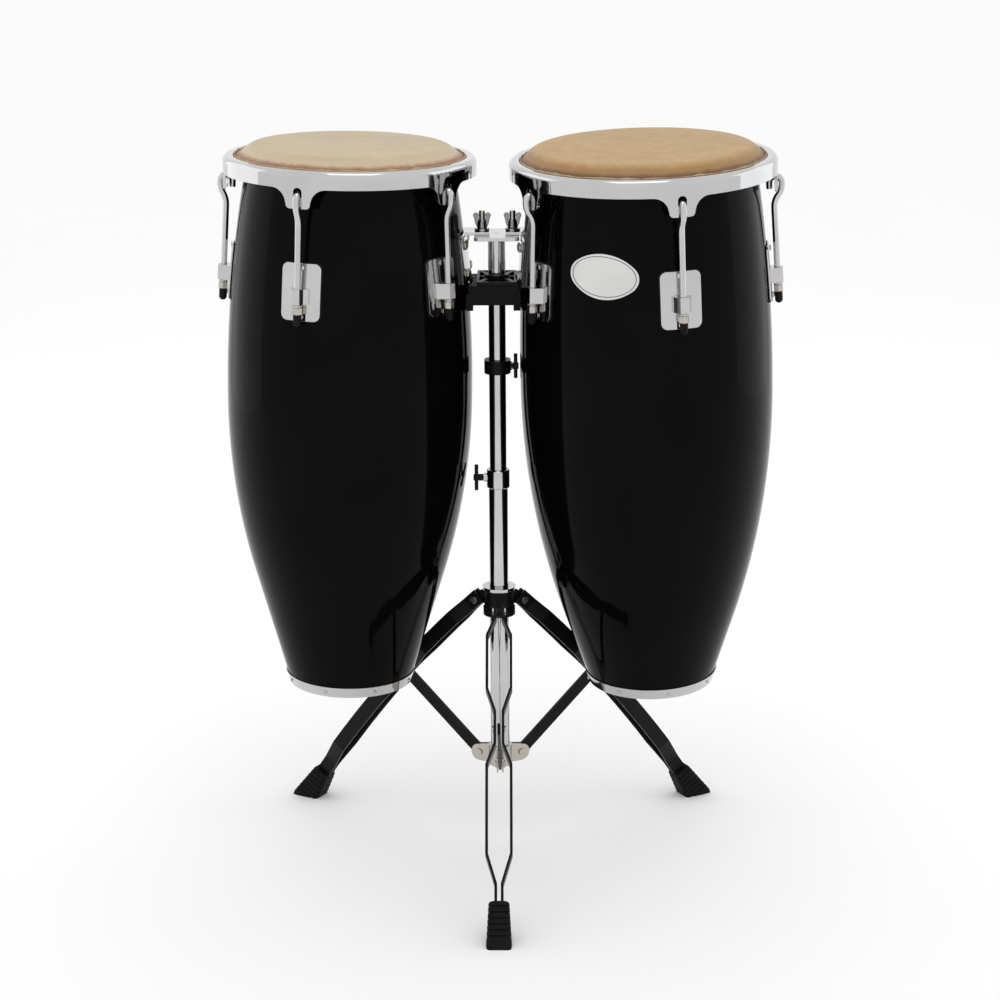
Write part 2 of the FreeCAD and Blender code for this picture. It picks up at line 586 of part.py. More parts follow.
def make_bottom_band(side):
    """Chrome band round the foot of the shell, coned with it and drilled for its screws."""
    body = new_body(side + "_bottom_band", lug_frame(side))
    face = new_sketch(body, "XZ_Plane")
    grow = "(own_join_out - own_foot_radius) / own_join_up * band_high"
    outline(face, [
        ("own_foot_radius", "0"), ("own_foot_radius + band_thick", "0"),
        ("own_foot_radius + band_thick + " + grow, "band_high"), ("own_foot_radius + " + grow, "band_high"),
    ], side)
    turned(body, face)
    holes = new_sketch(body, "XZ_Plane")
    ring(holes, "0", "band_high / 2", "band_screw", side)
    repeat(body, [pocket(body, holes, "own_foot_radius + 20", side, reverse=True)], BAND_SCREWS)


def make_band_screws(side):
    """Small round-headed screws that hold the band."""
    body = new_body(side + "_band_screws", lug_frame(side))
    face = new_sketch(body, "YZ_Plane", spot(0, number("band_high / 2"), 0))
    swell = "(own_join_out - own_foot_radius) / own_join_up * band_high / 2"
    seat = "-(own_foot_radius + band_thick + 0.7 + %s)" % swell
    outline(face, [
        (seat + " + band_screw_long", "0"), (seat + " - band_screw_proud", "0"),
        (seat + " - band_screw_proud", "band_screw_head / 2"), (seat, "band_screw_head"),
        (seat, "band_screw"),
        (seat + " + band_screw_long - 2", "band_screw"),
    ], side)
    repeat(body, [turned(body, face, axis="H_Axis")], BAND_SCREWS)


def make_bracket(side):
    """Curved plate on the drum's inner side with a level tab that the stand's stud clamps."""
    frame = drum_frame(side, number("own_bracket_turn", side))
    body = new_body(side + "_bracket", frame)
    skin_ring_face = skin_ring(body, side, "bracket_low", "bracket_high", "bracket_gap",
                               "bracket_gap + bracket_thick", spot(axis=Vector(0, 1, 0), angle=-90))
    turned(body, skin_ring_face, angle="bracket_sweep", midplane=True)
    doc.recompute()
    level = spot(0, number("pole_y"), number("top_plate_z + clamp_gap"))
    tab = new_sketch(body, "XY_Plane", frame.inverse() * level)
    way, back, bend = ("+", "-", -1) if side == "left" else ("-", "+", 1)
    tip = "own_stud_x %s tab_past_stud" % way
    outline(tab, [
        ("own_tab_front", "-tab_half_wide"), (tip, "-tab_half_wide"), (tip, "-slot_half"),
        ("own_stud_x %s slot_back" % back, "-slot_half", "slot_half * 1.02", bend),
        ("own_stud_x %s slot_back" % back, "slot_half"),
        (tip, "slot_half"), (tip, "tab_half_wide"), ("own_tab_back", "tab_half_wide"),
    ], side)
    pad(body, tab, "tab_thick", side)
    for swing in (-0.5, 0.5):
        drill_bracket_holes(body, side, swing * number("bracket_bolt_spread"))


def drill_bracket_holes(body, side, turn):
    holes = new_sketch(body, "XZ_Plane", spot(axis=Vector(0, 1, 0), angle=turn))
    for way in ("+", "-"):
        ring(holes, "0", "(bracket_low + bracket_high) / 2 %s bracket_bolt_up" % way, "bracket_bolt", side)
    pocket(body, holes, "own_belly_radius + 10", side, reverse=True)


def make_bracket_bolts(side):
    """Four bolts that hold the bracket, with nuts inside the shell."""
    turn = number("own_bracket_turn - bracket_bolt_spread / 2", side)
    body = new_body(side + "_bracket_bolts", drum_frame(side, turn))
    bolts = []
    for way in ("+", "-"):
        up = "((bracket_low + bracket_high) / 2 %s bracket_bolt_up)" % way
        bolts.append(bolt_face(body, side, up, "bracket_bolt", "bracket_bolt_head", "bracket_bolt_head_thick",
                               "bracket_gap + bracket_thick + bracket_bolt_seat", "inner_gap", "bracket_nut",
                               "bracket_nut_thick"))
    repeat(body, bolts, count=2, angle="bracket_bolt_spread")


def make_badge(side):
    """Blank oval plate that follows the curve of the shell."""
    body = new_body(side + "_badge", drum_frame(side, number("badge_turn")))
    face = skin_ring(body, side, "badge_up - badge_room_y", "badge_up + badge_room_y", "0", "badge_thick",
                     spot(axis=Vector(0, 1, 0), angle=-90))
    turned(body, face, angle="badge_sweep", midplane=True)
    cut = new_sketch(body, "XZ_Plane", spot(0, number("badge_up"), 0, UP, -number("badge_tilt")))
    far_x, far_y = "(badge_room_x * 1.3)", "(badge_room_y * 1.3)"
    outline(cut, box_corners("-" + far_x, far_x, "-" + far_y, far_y), side)
    outline(cut, [
        ("badge_corner_x", "-badge_corner_y", "badge_end_round", 1),
        ("badge_corner_x", "badge_corner_y", "badge_side_round", 1),
        ("-badge_corner_x", "badge_corner_y", "badge_end_round", 1),
        ("-badge_corner_x", "-badge_corner_y", "badge_side_round", 1),
    ], side)
    pocket(body, cut, "own_belly_radius + 20", side, reverse=True)


def make_drum(side):
    for make in (make_shell, make_head, make_flesh_hoop, make_rim, make_hooks, make_tuning_nuts, make_rod_caps,
                 make_side_plates, make_gaskets, make_plate_bolts, make_bottom_band, make_band_screws,
                 make_bracket, make_bracket_bolts):
        make(side)


# Pole -------------------------------------------------------------------------------------------------

def sleeve(label, profile, angle=0):
    """A round body about the pole, from its half section."""
    body = new_body(label, stand_frame(angle))
    turned(body, outline(new_sketch(body, "XZ_Plane"), profile))
    return body


def tube_profile(bore, radius, low, high):
    return [(bore, low), (radius, low), (radius, high), (bore, high)]


def screw_hole(body, height, radius, side_way):
    """A hole through one wall, toward -X or +X."""
    sketch = new_sketch(body, "YZ_Plane")
    ring(sketch, "0", height, radius)
    pocket(body, sketch, "collar_boss + 10", reverse=side_way > 0)


def make_lower_pole():
    """Fixed outer tube, the bush it carries, and the collar round its top."""
    tube = sleeve("lower_tube", tube_profile("low_tube_bore", "low_tube", "low_tube_foot", "low_tube_top"))
    screw_hole(tube, "collar_screw_up", "screw + screw_clear", -1)
    bush = sleeve("tube_bushing", [
        ("bush_bore", "low_tube_top - bush_long"), ("low_tube_bore", "low_tube_top - bush_long"),
        ("low_tube_bore", "low_tube_top"), ("bush_flange", "low_tube_top"),
        ("bush_flange", "low_tube_top + bush_flange_thick"),
        ("bush_bore", "low_tube_top + bush_flange_thick"),
    ])
    screw_hole(bush, "collar_screw_up", "screw + screw_clear", -1)
    collar = sleeve("height_collar", [
        ("low_tube", "collar_low"), ("collar_radius - 1", "collar_low"), ("collar_radius", "collar_low + 1"),
        ("collar_radius", "collar_high - 1"), ("collar_radius - 1", "collar_high"),
        ("collar_lip", "collar_high"),
        ("collar_lip", "low_tube_top + bush_flange_thick"),
        ("bush_flange", "low_tube_top + bush_flange_thick"),
        ("bush_flange", "low_tube_top"), ("low_tube", "low_tube_top"),
    ])
    add_boss(collar, "collar_screw_up", "collar_boss", "bush_flange + 0.3", -1)


def add_boss(body, height, reach, start, side_way):
    """A round boss on one side of a collar, drilled for its screw."""
    offset = spot(0, 0, side_way * number(start))
    boss = new_sketch(body, "YZ_Plane", offset)
    ring(boss, "0", height, "boss_radius")
    pad(body, boss, "%s - (%s)" % (reach, start), reverse=side_way < 0)
    screw_hole(body, height, "screw + screw_room", side_way)


def make_wing_screw(label, height, boss, neck, turn):
    """Wing screw: a pointed shank, a neck, and a bar with rounded ends across it."""
    body = new_body(label, stand_frame(turn) * spot(0, 0, number(height)))
    end = "%s + %s + wing_thick + screw_end" % (boss, neck)
    shank = new_sketch(body, "XZ_Plane")
    outline(shank, [
        ("screw_tip", "0"), ("screw_tip", "screw - 1"), ("screw_tip + 1", "screw"),
        (boss + " + 0.5", "screw"),
        (boss + " + 0.5", "screw_neck"), (end + " - 1", "screw_neck"), (end, "screw_neck - 1"), (end, "0"),
    ])
    turned(body, shank, axis="H_Axis")
    place = spot(0, 0, number("%s + %s" % (boss, neck)), UP, number("wing_turn"))
    bar = new_sketch(body, "YZ_Plane", place)
    outline(bar, box_corners("-wing_waist", "wing_waist", "-(wing_half - wing_lobe)", "wing_half - wing_lobe"))
    pad(body, bar, "wing_thick")
    lobes = new_sketch(body, "YZ_Plane", place)
    for way in ("", "-"):
        ring(lobes, "0", way + "(wing_half - wing_lobe)", "wing_lobe")
    pad(body, lobes, "wing_thick")


def make_mast():
    """Sliding inner tube, the plate on its top, and the casting and rubber bumper between the drums."""
    sleeve("upper_tube", tube_profile("top_tube_bore", "top_tube", "top_tube_foot", "top_plate_z - top_plate_thick"))
    plate = new_body("top_plate", stand_frame() * spot(0, 0, number("top_plate_z - top_plate_thick")))
    left, right, deep, bend = "top_plate_left", "top_plate_right", "top_plate_half_deep", "top_plate_round"
    face = new_sketch(plate, "XY_Plane")
    outline(face, [
        (left + " + " + bend, "-" + deep), (right + " - " + bend, "-" + deep, bend, 1),
        (right, "-%s + %s" % (deep, bend)), (right, "%s - %s" % (deep, bend), bend, 1),
        (right + " - " + bend, deep), (left + " + " + bend, deep, bend, 1),
        (left, "%s - %s" % (deep, bend)), (left, "-%s + %s" % (deep, bend), bend, 1),
    ])
    ring(face, "left_stud_x", "0", "stud")
    ring(face, "right_stud_x", "0", "stud")
    outline(face, box_corners("-sight_half_wide", "sight_half_wide", "-sight_half_deep", "sight_half_deep"))
    pad(plate, face, "top_plate_thick")
    make_tray()
    make_bumper()


def make_tray():
    """Cast tray on the bumper: an outer wall, a collar round the tube and ribs between the two."""
    tray = new_body("bumper_bracket", stand_frame() * spot(0, 0, number("bumper_high")))
    face = new_sketch(tray, "XY_Plane")
    outline(face, box_corners("-tray_half_long", "tray_half_long", "-tray_half_deep", "tray_half_deep"))
    ring(face, "0", "0", "tray_bore")
    pad(tray, face, "tray_high - bumper_high")
    cells = new_sketch(tray, "XY_Plane")
    end, edge = "(tray_half_long - tray_wall)", "(tray_half_deep - tray_wall)"
    for deep in ("", "-"):
        outline(cells, [
            (end + " * -1 + tray_rib", deep + edge), (end + " - tray_rib", deep + edge),
            ("tray_ring / 2", "%s(tray_ring + 1)" % deep), ("-tray_ring / 2", "%s(tray_ring + 1)" % deep),
        ])
        for long in ("", "-"):
            outline(cells, [
                (long + end, "%s(%s - 1.5 * tray_rib)" % (deep, edge)), (long + end, deep + "tray_rib / 2"),
                (long + "(tray_ring + 1)", deep + "tray_rib / 2"),
                ("%s(tray_ring * 0.9)" % long, deep + "(tray_ring * 0.8)"),
            ])
    pocket(tray, cells, "2 * tray_high", midplane=True)
    doc.recompute()
    collar = new_sketch(tray, "XY_Plane")
    ring(collar, "0", "0", "tray_ring")
    ring(collar, "0", "0", "tray_bore")
    pad(tray, collar, "tray_collar_high - bumper_high")


def make_bumper():
    body = new_body("bumper", stand_frame())
    deep = "bumper_half_deep"
    block = new_sketch(body, "XY_Plane", spot(0, 0, number("bumper_low")))
    outline(block, [
        ("block_left", "-" + deep), ("block_right_front", "-" + deep, "right_hollow", -1),
        ("block_right_back", deep), ("block_left", deep, "left_hollow", -1),
    ])
    ring(block, "0", "0", "bumper_bore")
    pad(body, block, "bumper_high - bumper_low")
    pads = new_sketch(body, "XY_Plane", spot(0, 0, number("pad_low")))
    outline(pads, [
        ("pad_left", "-" + deep), ("pad_left + pad_thick", "-" + deep), ("pad_left + pad_thick", deep),
        ("pad_left", deep, "left_hollow", -1),
    ])
    outline(pads, [
        ("pad_right_front - pad_thick", "-" + deep), ("pad_right_front", "-" + deep, "right_hollow", -1),
        ("pad_right_back", deep), ("pad_right_back - pad_thick", deep),
    ])
    pad(body, pads, "pad_high - pad_low")


def make_clamp():
    """Studs with heads under the top plate, their washers, and a wing nut on each."""
    body = new_body("clamp_bolts", stand_frame())
    below = "top_plate_z - top_plate_thick"
    washer = "top_plate_z + 2 * clamp_gap + tab_thick"
    for side in SIDES:
        face = new_sketch(body, "XZ_Plane", spot(number("own_stud_x", side), 0, 0))
        outline(face, [
            ("0", below + " - stud_head_thick"), ("stud_head - 1", below + " - stud_head_thick"),
            ("stud_head", below + " - stud_head_thick + 1"), ("stud_head", below), ("stud", below),
            ("stud", "stud_top - 1"), ("stud - 1", "stud_top"), ("0", "stud_top"),
        ])
        turned(body, face)
        disc = new_sketch(body, "XZ_Plane", spot(number("own_stud_x", side), 0, 0))
        outline(disc, tube_profile("stud + 0.3", "clamp_washer", washer, washer + " + clamp_washer_thick"))
        turned(body, disc)
        make_wing_nut(side, washer + " + clamp_washer_thick + 0.1")


def make_wing_nut(side, seat):
    place = spot(number("own_stud_x", side), 0, number(seat))
    body = new_body(side + "_wing_nut", stand_frame() * place)
    face = new_sketch(body, "XZ_Plane")
    bore = "(stud + nut_room)"
    outline(face, [
        (bore, "0"), ("wing_nut_hub", "0"), ("wing_nut_hub - 0.8", "wing_nut_high"), (bore, "wing_nut_high"),
    ])
    turned(body, face)
    wings = new_sketch(body, "XZ_Plane")
    for way, bend in (("", 1), ("-", -1)):
        outline(wings, [
            (way + "(stud + 1)", "1"), (way + "(wing_nut_hub + 1)", "2"),
            (way + "wing_nut_span", "wing_nut_top - 6"),
            (way + "(wing_nut_span)", "wing_nut_top - 2", "2", bend),
            (way + "(wing_nut_span - 2)", "wing_nut_top"), (way + "(wing_nut_span - 4)", "wing_nut_top"),
            (way + "(stud + 1)", "wing_nut_high - 1"),
        ])
    pad(body, wings, "wing_nut_thick", midplane=True)


# Tripod -----------------------------------------------------------------------------------------------

def make_hub():
    """Sliding hub with three fins, its pins, the bright flange over it and the ring under it."""
    hub = sleeve("leg_hub", tube_profile("hub_bore", "hub_radius", "hub_low", "hub_high"), -90)
    fin = new_sketch(hub, "XZ_Plane")
    out, up, bend = "leg_pivot_out", "leg_pivot_up", "fin_round"
    outline(fin, [
        ("hub_radius - 3", "fin_low"), (out + " - 8", "fin_low"),
        (out, up + " - " + bend, bend, 1), (out + " + " + bend, up, bend, 1), (out, up + " + " + bend),
        ("hub_radius + 2", "fin_high"), ("hub_radius - 3", "fin_high"),
    ])
    plate = pad(hub, fin, "2 * fin_half", midplane=True)
    hole = new_sketch(hub, "XZ_Plane")
    ring(hole, out, up, "pin")
    repeat(hub, [plate, pocket(hub, hole, "8 * fin_half", midplane=True)], len(LEGS))
    sleeve("hub_flange", tube_profile("hub_bore", "flange_radius", "hub_high", "flange_high"))
    sleeve("hub_ring", tube_profile("hub_bore", "ring_radius", "ring_low", "hub_low"))
    make_cross_pins("hub_pins", out, up, "strip_near + strip / 2 + 0.4")


def make_cross_pins(label, out, up, reach):
    """A headed pin across the pole's radius at each leg."""
    body = new_body(label, stand_frame(-90))
    face = new_sketch(body, "XY_Plane", spot(0, 0, number(up)))
    outline(face, [
        (out, "-(%s + pin_head_thick)" % reach), (out + " + pin_head", "-(%s + pin_head_thick)" % reach),
        (out + " + pin_head", "-(%s)" % reach), (out + " + pin", "-(%s)" % reach),
        (out + " + pin", reach), (out + " + pin_head", reach),
        (out + " + pin_head", reach + " + pin_head_thick"), (out, reach + " + pin_head_thick"),
    ])
    made = feature(body, "Revolution", face)
    made.ReferenceAxis = (face, ["Edge%d" % 8])
    made.Angle = 360
    body.Tip = made
    repeat(body, [made], len(LEGS))


def make_spider():
    """Sleeve at the foot of the pole with three pairs of ears, and the pins the braces swing on."""
    body = sleeve("spider", tube_profile("low_tube", "spider_hub", "spider_low + 4", "spider_high"), -90)
    ear = new_sketch(body, "XZ_Plane")
    out, up, bend = "spider_pivot_out", "spider_pivot_up", "ear_end_round"
    outline(ear, [
        ("low_tube + 1.5", "spider_low + 4"), ("spider_pivot_out - 3", up + " - " + bend),
        (out, up + " - " + bend, bend, 1), (out + " + " + bend, up, bend, 1), (out, up + " + " + bend),
        ("low_tube + 1.5", "spider_high - 2"),
    ])
    plate = pad(body, ear, "2 * (ear_gap + ear_plate)", midplane=True)
    gap = new_sketch(body, "XZ_Plane")
    outline(gap, box_corners("ear_start", out + " + 2 * " + bend, "spider_low - 5", "spider_high + 5"))
    room = pocket(body, gap, "2 * ear_gap", midplane=True)
    hole = new_sketch(body, "XZ_Plane")
    ring(hole, out, up, "pin")
    repeat(body, [plate, room, pocket(body, hole, "8 * ear_gap", midplane=True)], len(LEGS))
    make_cross_pins("spider_pins", out, up, "ear_gap + ear_plate + 0.1")


def leg_frame(angle):
    """Origin at the leg's pivot, +X along its chord down to the foot, +Z to its outer side."""
    pivot = spot(number("leg_pivot_out"), 0, number("leg_pivot_up"), Vector(0, 1, 0), number("leg_slope"))
    return stand_frame(angle - 90) * pivot


def strip_corners(way):
    """Plan of one strip: it runs apart from its twin, closes on the brace, runs apart, closes at the foot."""
    stations = [
        ("strip_start", "strip_near"), ("first_spread / 3", "strip_near"), ("first_spread", "strip_far"),
        ("first_narrow", "strip_far"), ("brace_in", "strip_brace"), ("brace_out", "strip_brace"),
        ("second_spread", "strip_far"), ("second_narrow", "strip_far"), ("foot_in", "strip_foot"),
        ("leg_long", "strip_foot"),
    ]
    inner = [(along, way + "(%s - strip / 2)" % offset) for along, offset in stations]
    outer = [(along, way + "(%s + strip / 2)" % offset) for along, offset in stations]
    return inner + outer[::-1]


def make_leg(name, angle):
    """Two bowed flat strips side by side, drilled at the hub pivot and riveted at the brace."""
    body = new_body(name + "_leg", leg_frame(angle))
    plan = new_sketch(body, "XY_Plane")
    for way in ("", "-"):
        outline(plan, strip_corners(way))
    pad(body, plan, "4 * strip_wide", midplane=True)
    trim = new_sketch(body, "XZ_Plane")
    start, stop = "strip_start - 1", "leg_long + 1"
    middle = "(sqrt(leg_bow ^ 2 - (leg_long / 2) ^ 2))"
    for bow, limit in (("(leg_bow + strip_wide / 2)", "3 * strip_wide"),
                       ("(leg_bow - strip_wide / 2)", "-3 * strip_wide")):
        start_up = "sqrt(%s ^ 2 - (leg_long / 2 - (%s)) ^ 2) - %s" % (bow, start, middle)
        stop_up = "sqrt(%s ^ 2 - ((%s) - leg_long / 2) ^ 2) - %s" % (bow, stop, middle)
        outline(trim, [(stop, stop_up, bow, 1), (start, start_up), (start, limit), (stop, limit)])
    pocket(body, trim, "8 * strip_far", midplane=True)
    holes = new_sketch(body, "XZ_Plane")
    ring(holes, "0", "0", "pin + pin_room")
    ring(holes, "brace_along", "brace_off", "rivet")
    pocket(body, holes, "8 * strip_far", midplane=True)
    rivet_spot = spot(number("brace_along"), 0, number("brace_off"))
    rivets = new_body(name + "_leg_rivets", leg_frame(angle) * rivet_spot)
    for way in ("", "-"):
        face = new_sketch(rivets, "XY_Plane")
        near = "%s(strip_brace - strip / 2)" % way
        far = "%s(strip_brace + strip / 2 + 0.2)" % way
        tip = "%s(strip_brace + strip / 2 + 2)" % way
        outline(face, [
            ("0", near), ("rivet", near), ("rivet", far), ("pin_head", far), ("pin_head - 1", tip),
            ("0", tip),
        ])
        turned(rivets, face)
    make_foot(name, angle)
    brace = new_body(name + "_brace", stand_frame(angle - 90) * spot(
        number("spider_pivot_out"), 0, number("spider_pivot_up"), Vector(0, 1, 0), -number("brace_slope")))
    bar = new_sketch(brace, "XZ_Plane")
    outline(bar, [
        ("0", "-brace_half_wide"), ("brace_long", "-brace_half_wide", "brace_half_wide * 1.01", 1),
        ("brace_long", "brace_half_wide"), ("0", "brace_half_wide", "brace_half_wide * 1.01", 1),
    ])
    ring(bar, "0", "0", "pin + pin_room")
    ring(bar, "brace_long", "0", "rivet + 0.3")
    pad(brace, bar, "brace_thick", midplane=True)


def make_foot(name, angle):
    """Ribbed rubber foot that widens down the leg and is cut level with the floor."""
    start = spot(number("leg_long"), 0, 0, Vector(0, 1, 0), number("foot_lean - leg_slope"))
    frame = leg_frame(angle) * start * spot(-number("foot_back"), 0, 0)
    body = new_body(name + "_foot", frame)
    top = new_sketch(body, "YZ_Plane")
    outline(top, box_corners("-foot_top_side", "foot_top_side", "-foot_top_half", "foot_top_half"))
    end = new_sketch(body, "YZ_Plane", spot(0, 0, number("foot_long")))
    outline(end, box_corners("-foot_end_side", "foot_end_side", "-foot_end_half", "foot_end_half"))
    loft = feature(body, "AdditiveLoft", top)
    loft.Sections = [end]
    loft.Ruled = True
    body.Tip = loft
    for rib in range(FOOT_RIBS):
        near = "(first_rib + %d * rib_step)" % rib
        share = "((%s + groove_long) / foot_long)" % near
        side = "(foot_top_side + (foot_end_side - foot_top_side) * %s - groove_deep)" % share
        half = "(foot_top_half + (foot_end_half - foot_top_half) * %s - groove_deep)" % share
        cut = new_sketch(body, "YZ_Plane", spot(0, 0, number(near)))
        far_side, far_half = "2 * foot_end_side", "2 * foot_end_half"
        outline(cut, box_corners("-" + far_side, far_side, "-" + far_half, far_half))
        outline(cut, box_corners("-" + side, side, "-" + half, half))
        pocket(body, cut, "groove_long", reverse=True)
    socket = new_sketch(body, "YZ_Plane")
    outline(socket, box_corners("-socket_side", "socket_side", "-socket_half", "socket_half"))
    pocket(body, socket, "socket_deep", reverse=True)
    floor = new_sketch(body, "XY_Plane", frame.inverse() * spot(0, number("pole_y"), 0, UP, angle - 90))
    outline(floor, box_corners("0", "leg_long", "-leg_long / 4", "leg_long / 4"))
    pocket(body, floor, "leg_long / 4")


def check_and_export():
    doc.recompute()
    for item in doc.Objects:
        if "Invalid" in item.State or "Error" in item.State:
            raise RuntimeError("%s is in state %s" % (item.Label, item.State))
    os.makedirs("parts", exist_ok=True)
    for node in nodes:
        if node.Shape.isNull() or not node.Shape.isValid():
            raise RuntimeError(node.Label + " has no valid shape")
        node.Shape.exportStep("parts/%s.step" % node.Label)
        box = node.Shape.optimalBoundingBox(False, False)
        print("%-22s %2d solids %10.0f mm3  x %.1f %.1f  y %.1f %.1f  z %.1f %.1f" % (
            node.Label, len(node.Shape.Solids), node.Shape.Volume, box.XMin, box.XMax, box.YMin, box.YMax,
            box.ZMin, box.ZMax))


fill_sheet()
for side in SIDES:
    make_drum(side)
make_badge("right")
make_lower_pole()
make_wing_screw("height_screw", "collar_screw_up", "collar_boss", "collar_neck", 180)
make_mast()
sleeve("memory_lock", tube_profile("lock_bore", "lock_radius", "lock_low", "lock_high"))
add_boss(nodes[-1], "(lock_low + lock_high) / 2", "lock_boss", "lock_bore + 2", 1)
make_wing_screw("memory_screw", "(lock_low + lock_high) / 2", "lock_boss", "lock_neck", 0)
make_clamp()
make_spider()
make_hub()
for name, angle in LEGS.items():
    make_leg(name, angle)
check_and_export()
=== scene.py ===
import json
import math

import bmesh
import bpy
from mathutils import Matrix, Vector, noise
from mathutils.bvhtree import BVHTree


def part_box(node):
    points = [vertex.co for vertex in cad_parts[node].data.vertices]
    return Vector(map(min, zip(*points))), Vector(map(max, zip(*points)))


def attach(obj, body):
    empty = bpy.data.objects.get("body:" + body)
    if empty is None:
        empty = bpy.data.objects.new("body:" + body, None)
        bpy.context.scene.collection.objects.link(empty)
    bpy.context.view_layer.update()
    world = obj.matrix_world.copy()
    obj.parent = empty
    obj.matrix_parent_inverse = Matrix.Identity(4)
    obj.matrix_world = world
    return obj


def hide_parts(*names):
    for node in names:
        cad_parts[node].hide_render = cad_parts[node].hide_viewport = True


# Looks for a pair of conga drums on a double stand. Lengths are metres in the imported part's own frame.

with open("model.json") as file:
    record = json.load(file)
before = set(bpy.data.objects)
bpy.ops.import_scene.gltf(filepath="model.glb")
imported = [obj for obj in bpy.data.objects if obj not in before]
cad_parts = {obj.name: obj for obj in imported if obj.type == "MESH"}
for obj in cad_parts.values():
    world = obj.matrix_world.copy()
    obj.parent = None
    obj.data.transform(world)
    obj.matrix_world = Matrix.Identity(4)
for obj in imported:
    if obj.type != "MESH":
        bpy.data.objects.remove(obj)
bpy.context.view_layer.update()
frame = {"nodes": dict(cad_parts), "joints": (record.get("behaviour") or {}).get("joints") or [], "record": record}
NODES = frame["nodes"]
JOINTS = {joint["name"]: joint for joint in frame["joints"]}
SIDES = ("left", "right")
LEGS = ("front", "left", "right")
MM = 0.001
UP = Vector((0, 0, 1))

# the camera stands in front of the drums and looks a little down
CAMERA_AT = Vector((0.0324, -2.9776, 1.3691))
CAMERA_DOWN = math.radians(16.24)
CAMERA_YAW = math.radians(-0.57)
CAMERA_ROLL = math.radians(-0.42)
CAMERA_LENS = 87.7
CAMERA_SENSOR = 36

# each softbox: its place, what it faces, its width and height, its power and its tint
SOFTBOXES = {
    "left_box": ((-2.6, 1.0, 1.1), (0, 0, 0.7), 2.6, 3.4, 14, (1, 0.985, 0.96)),
    "right_box": ((2.6, 1.0, 1.1), (0, 0, 0.7), 2.6, 3.4, 14, (0.96, 0.985, 1)),
    "top_box": ((0, -0.4, 3.2), (0, 0, 0.5), 1.2, 1.2, 6, (1, 1, 1)),
}
FLOOR_HALF = 40

# shells: even rows up to the rounded top edge, each measured on the CAD staves by rays at several turns
STAVES = 15
BAND_HIGH = 14 * MM
SHELL_STEPS = 192
SHELL_ROWS = 44
SHELL_EDGE = 10 * MM
SHELL_EDGE_ROWS = 8
ABOVE_FOOT = 0.2 * MM
BELOW_TOP = 0.05 * MM
RAY_TURNS = (0.5, 1.3, 2.1, 2.9, 3.7, 4.5, 5.3)
RAY_FROM = 0.4

# rawhide: the skin over the top edge of the shell, and its roll round the hoop inside the rim
SKIN = 2.5 * MM
SKIN_BEND = 20 * MM
SKIN_BEND_TURN = math.radians(45)
SKIN_WAVE = 0.35 * MM
ROLL = 6.5 * MM
ROLL_TURNS = [math.radians(turn) for turn in range(40, -191, -15)]
HEAD_STEPS = 192
FACE_RINGS = 14
BEND_ROWS = 7
# CAD corners this far below the crown or less are on the head's flat face
FACE_WITHIN = 0.1 * MM
# how far noise shifts the lines between the hide's colours
HIDE_WANDER = 7 * MM

# the trimmed edge of the hide: measured from the rim's inside, the roll's middle and the crown
TRIM_STEPS = 260
TRIM_IN = 1.3 * MM
TRIM_OVER_ROLL = 3 * MM
TRIM_UNDER_CROWN = 13.2 * MM
TRIM_COLOUR = (0.50, 0.40, 0.26)
# the rim's inside is measured on its corners above this depth below the crown
RIM_WITHIN = 20 * MM

# rubber feet: a ribbed block that widens down the leg
FOOT_LEAN = math.radians(57.5)
FOOT_LENGTH = 64 * MM
FOOT_GROWS_WIDE = 3.5 * MM
FOOT_GROWS_DEEP = 8 * MM
FOOT_CORNER = 4.5 * MM
FOOT_STEPS = 48
# CAD corners this near the foot's upper end give its width and depth there
FOOT_END_WITHIN = 0.3 * MM
MERGE_WITHIN = 0.01 * MM
FOOT_RIBS = 6
RIB_STEP = 7.5 * MM
FIRST_RIB = 6 * MM
GROOVE = 1.5 * MM
# (distance, how far in the surface is): from the ankle's end, from each rib's start, and back from the toe
ANKLE = ((0, 4.5 * MM), (1.2 * MM, 1.6 * MM), (3 * MM, 0.4 * MM), (FIRST_RIB - 0.6 * MM, 0))
RIB = ((0, 0.2 * MM), (0.5 * MM, GROOVE), (1.5 * MM, GROOVE),
       (2.1 * MM, 0.3 * MM), (3.4 * MM, 0), (6.4 * MM, 0))
TOE = ((8 * MM, 0.1 * MM), (3 * MM, 1.2 * MM), (0, 4 * MM))

# wing nuts
WING_HALF = 2.4 * MM
WING_ROUNDING = 0.8 * MM
HUB_STEPS = 40

# badge border: its place in from the badge's edge, its width, its sides below and above the badge's face, and
# the height of the rays that find that face
BORDER_IN = 3.2 * MM
BORDER_WIDE = 0.8 * MM
BORDER_SUNK = -0.1 * MM
BORDER_PROUD = 0.15 * MM
BORDER_STEPS = 120
BORDER_RAY = 30 * MM
BADGE_TILT = math.radians(-5)

# a colour Mix node repeats its socket names for each kind of data, so these are told apart by index
MIX_SHARE, MIX_FIRST, MIX_SECOND, MIX_RESULT = 0, 6, 7, 2


# Shader helpers ---------------------------------------------------------------------------------------

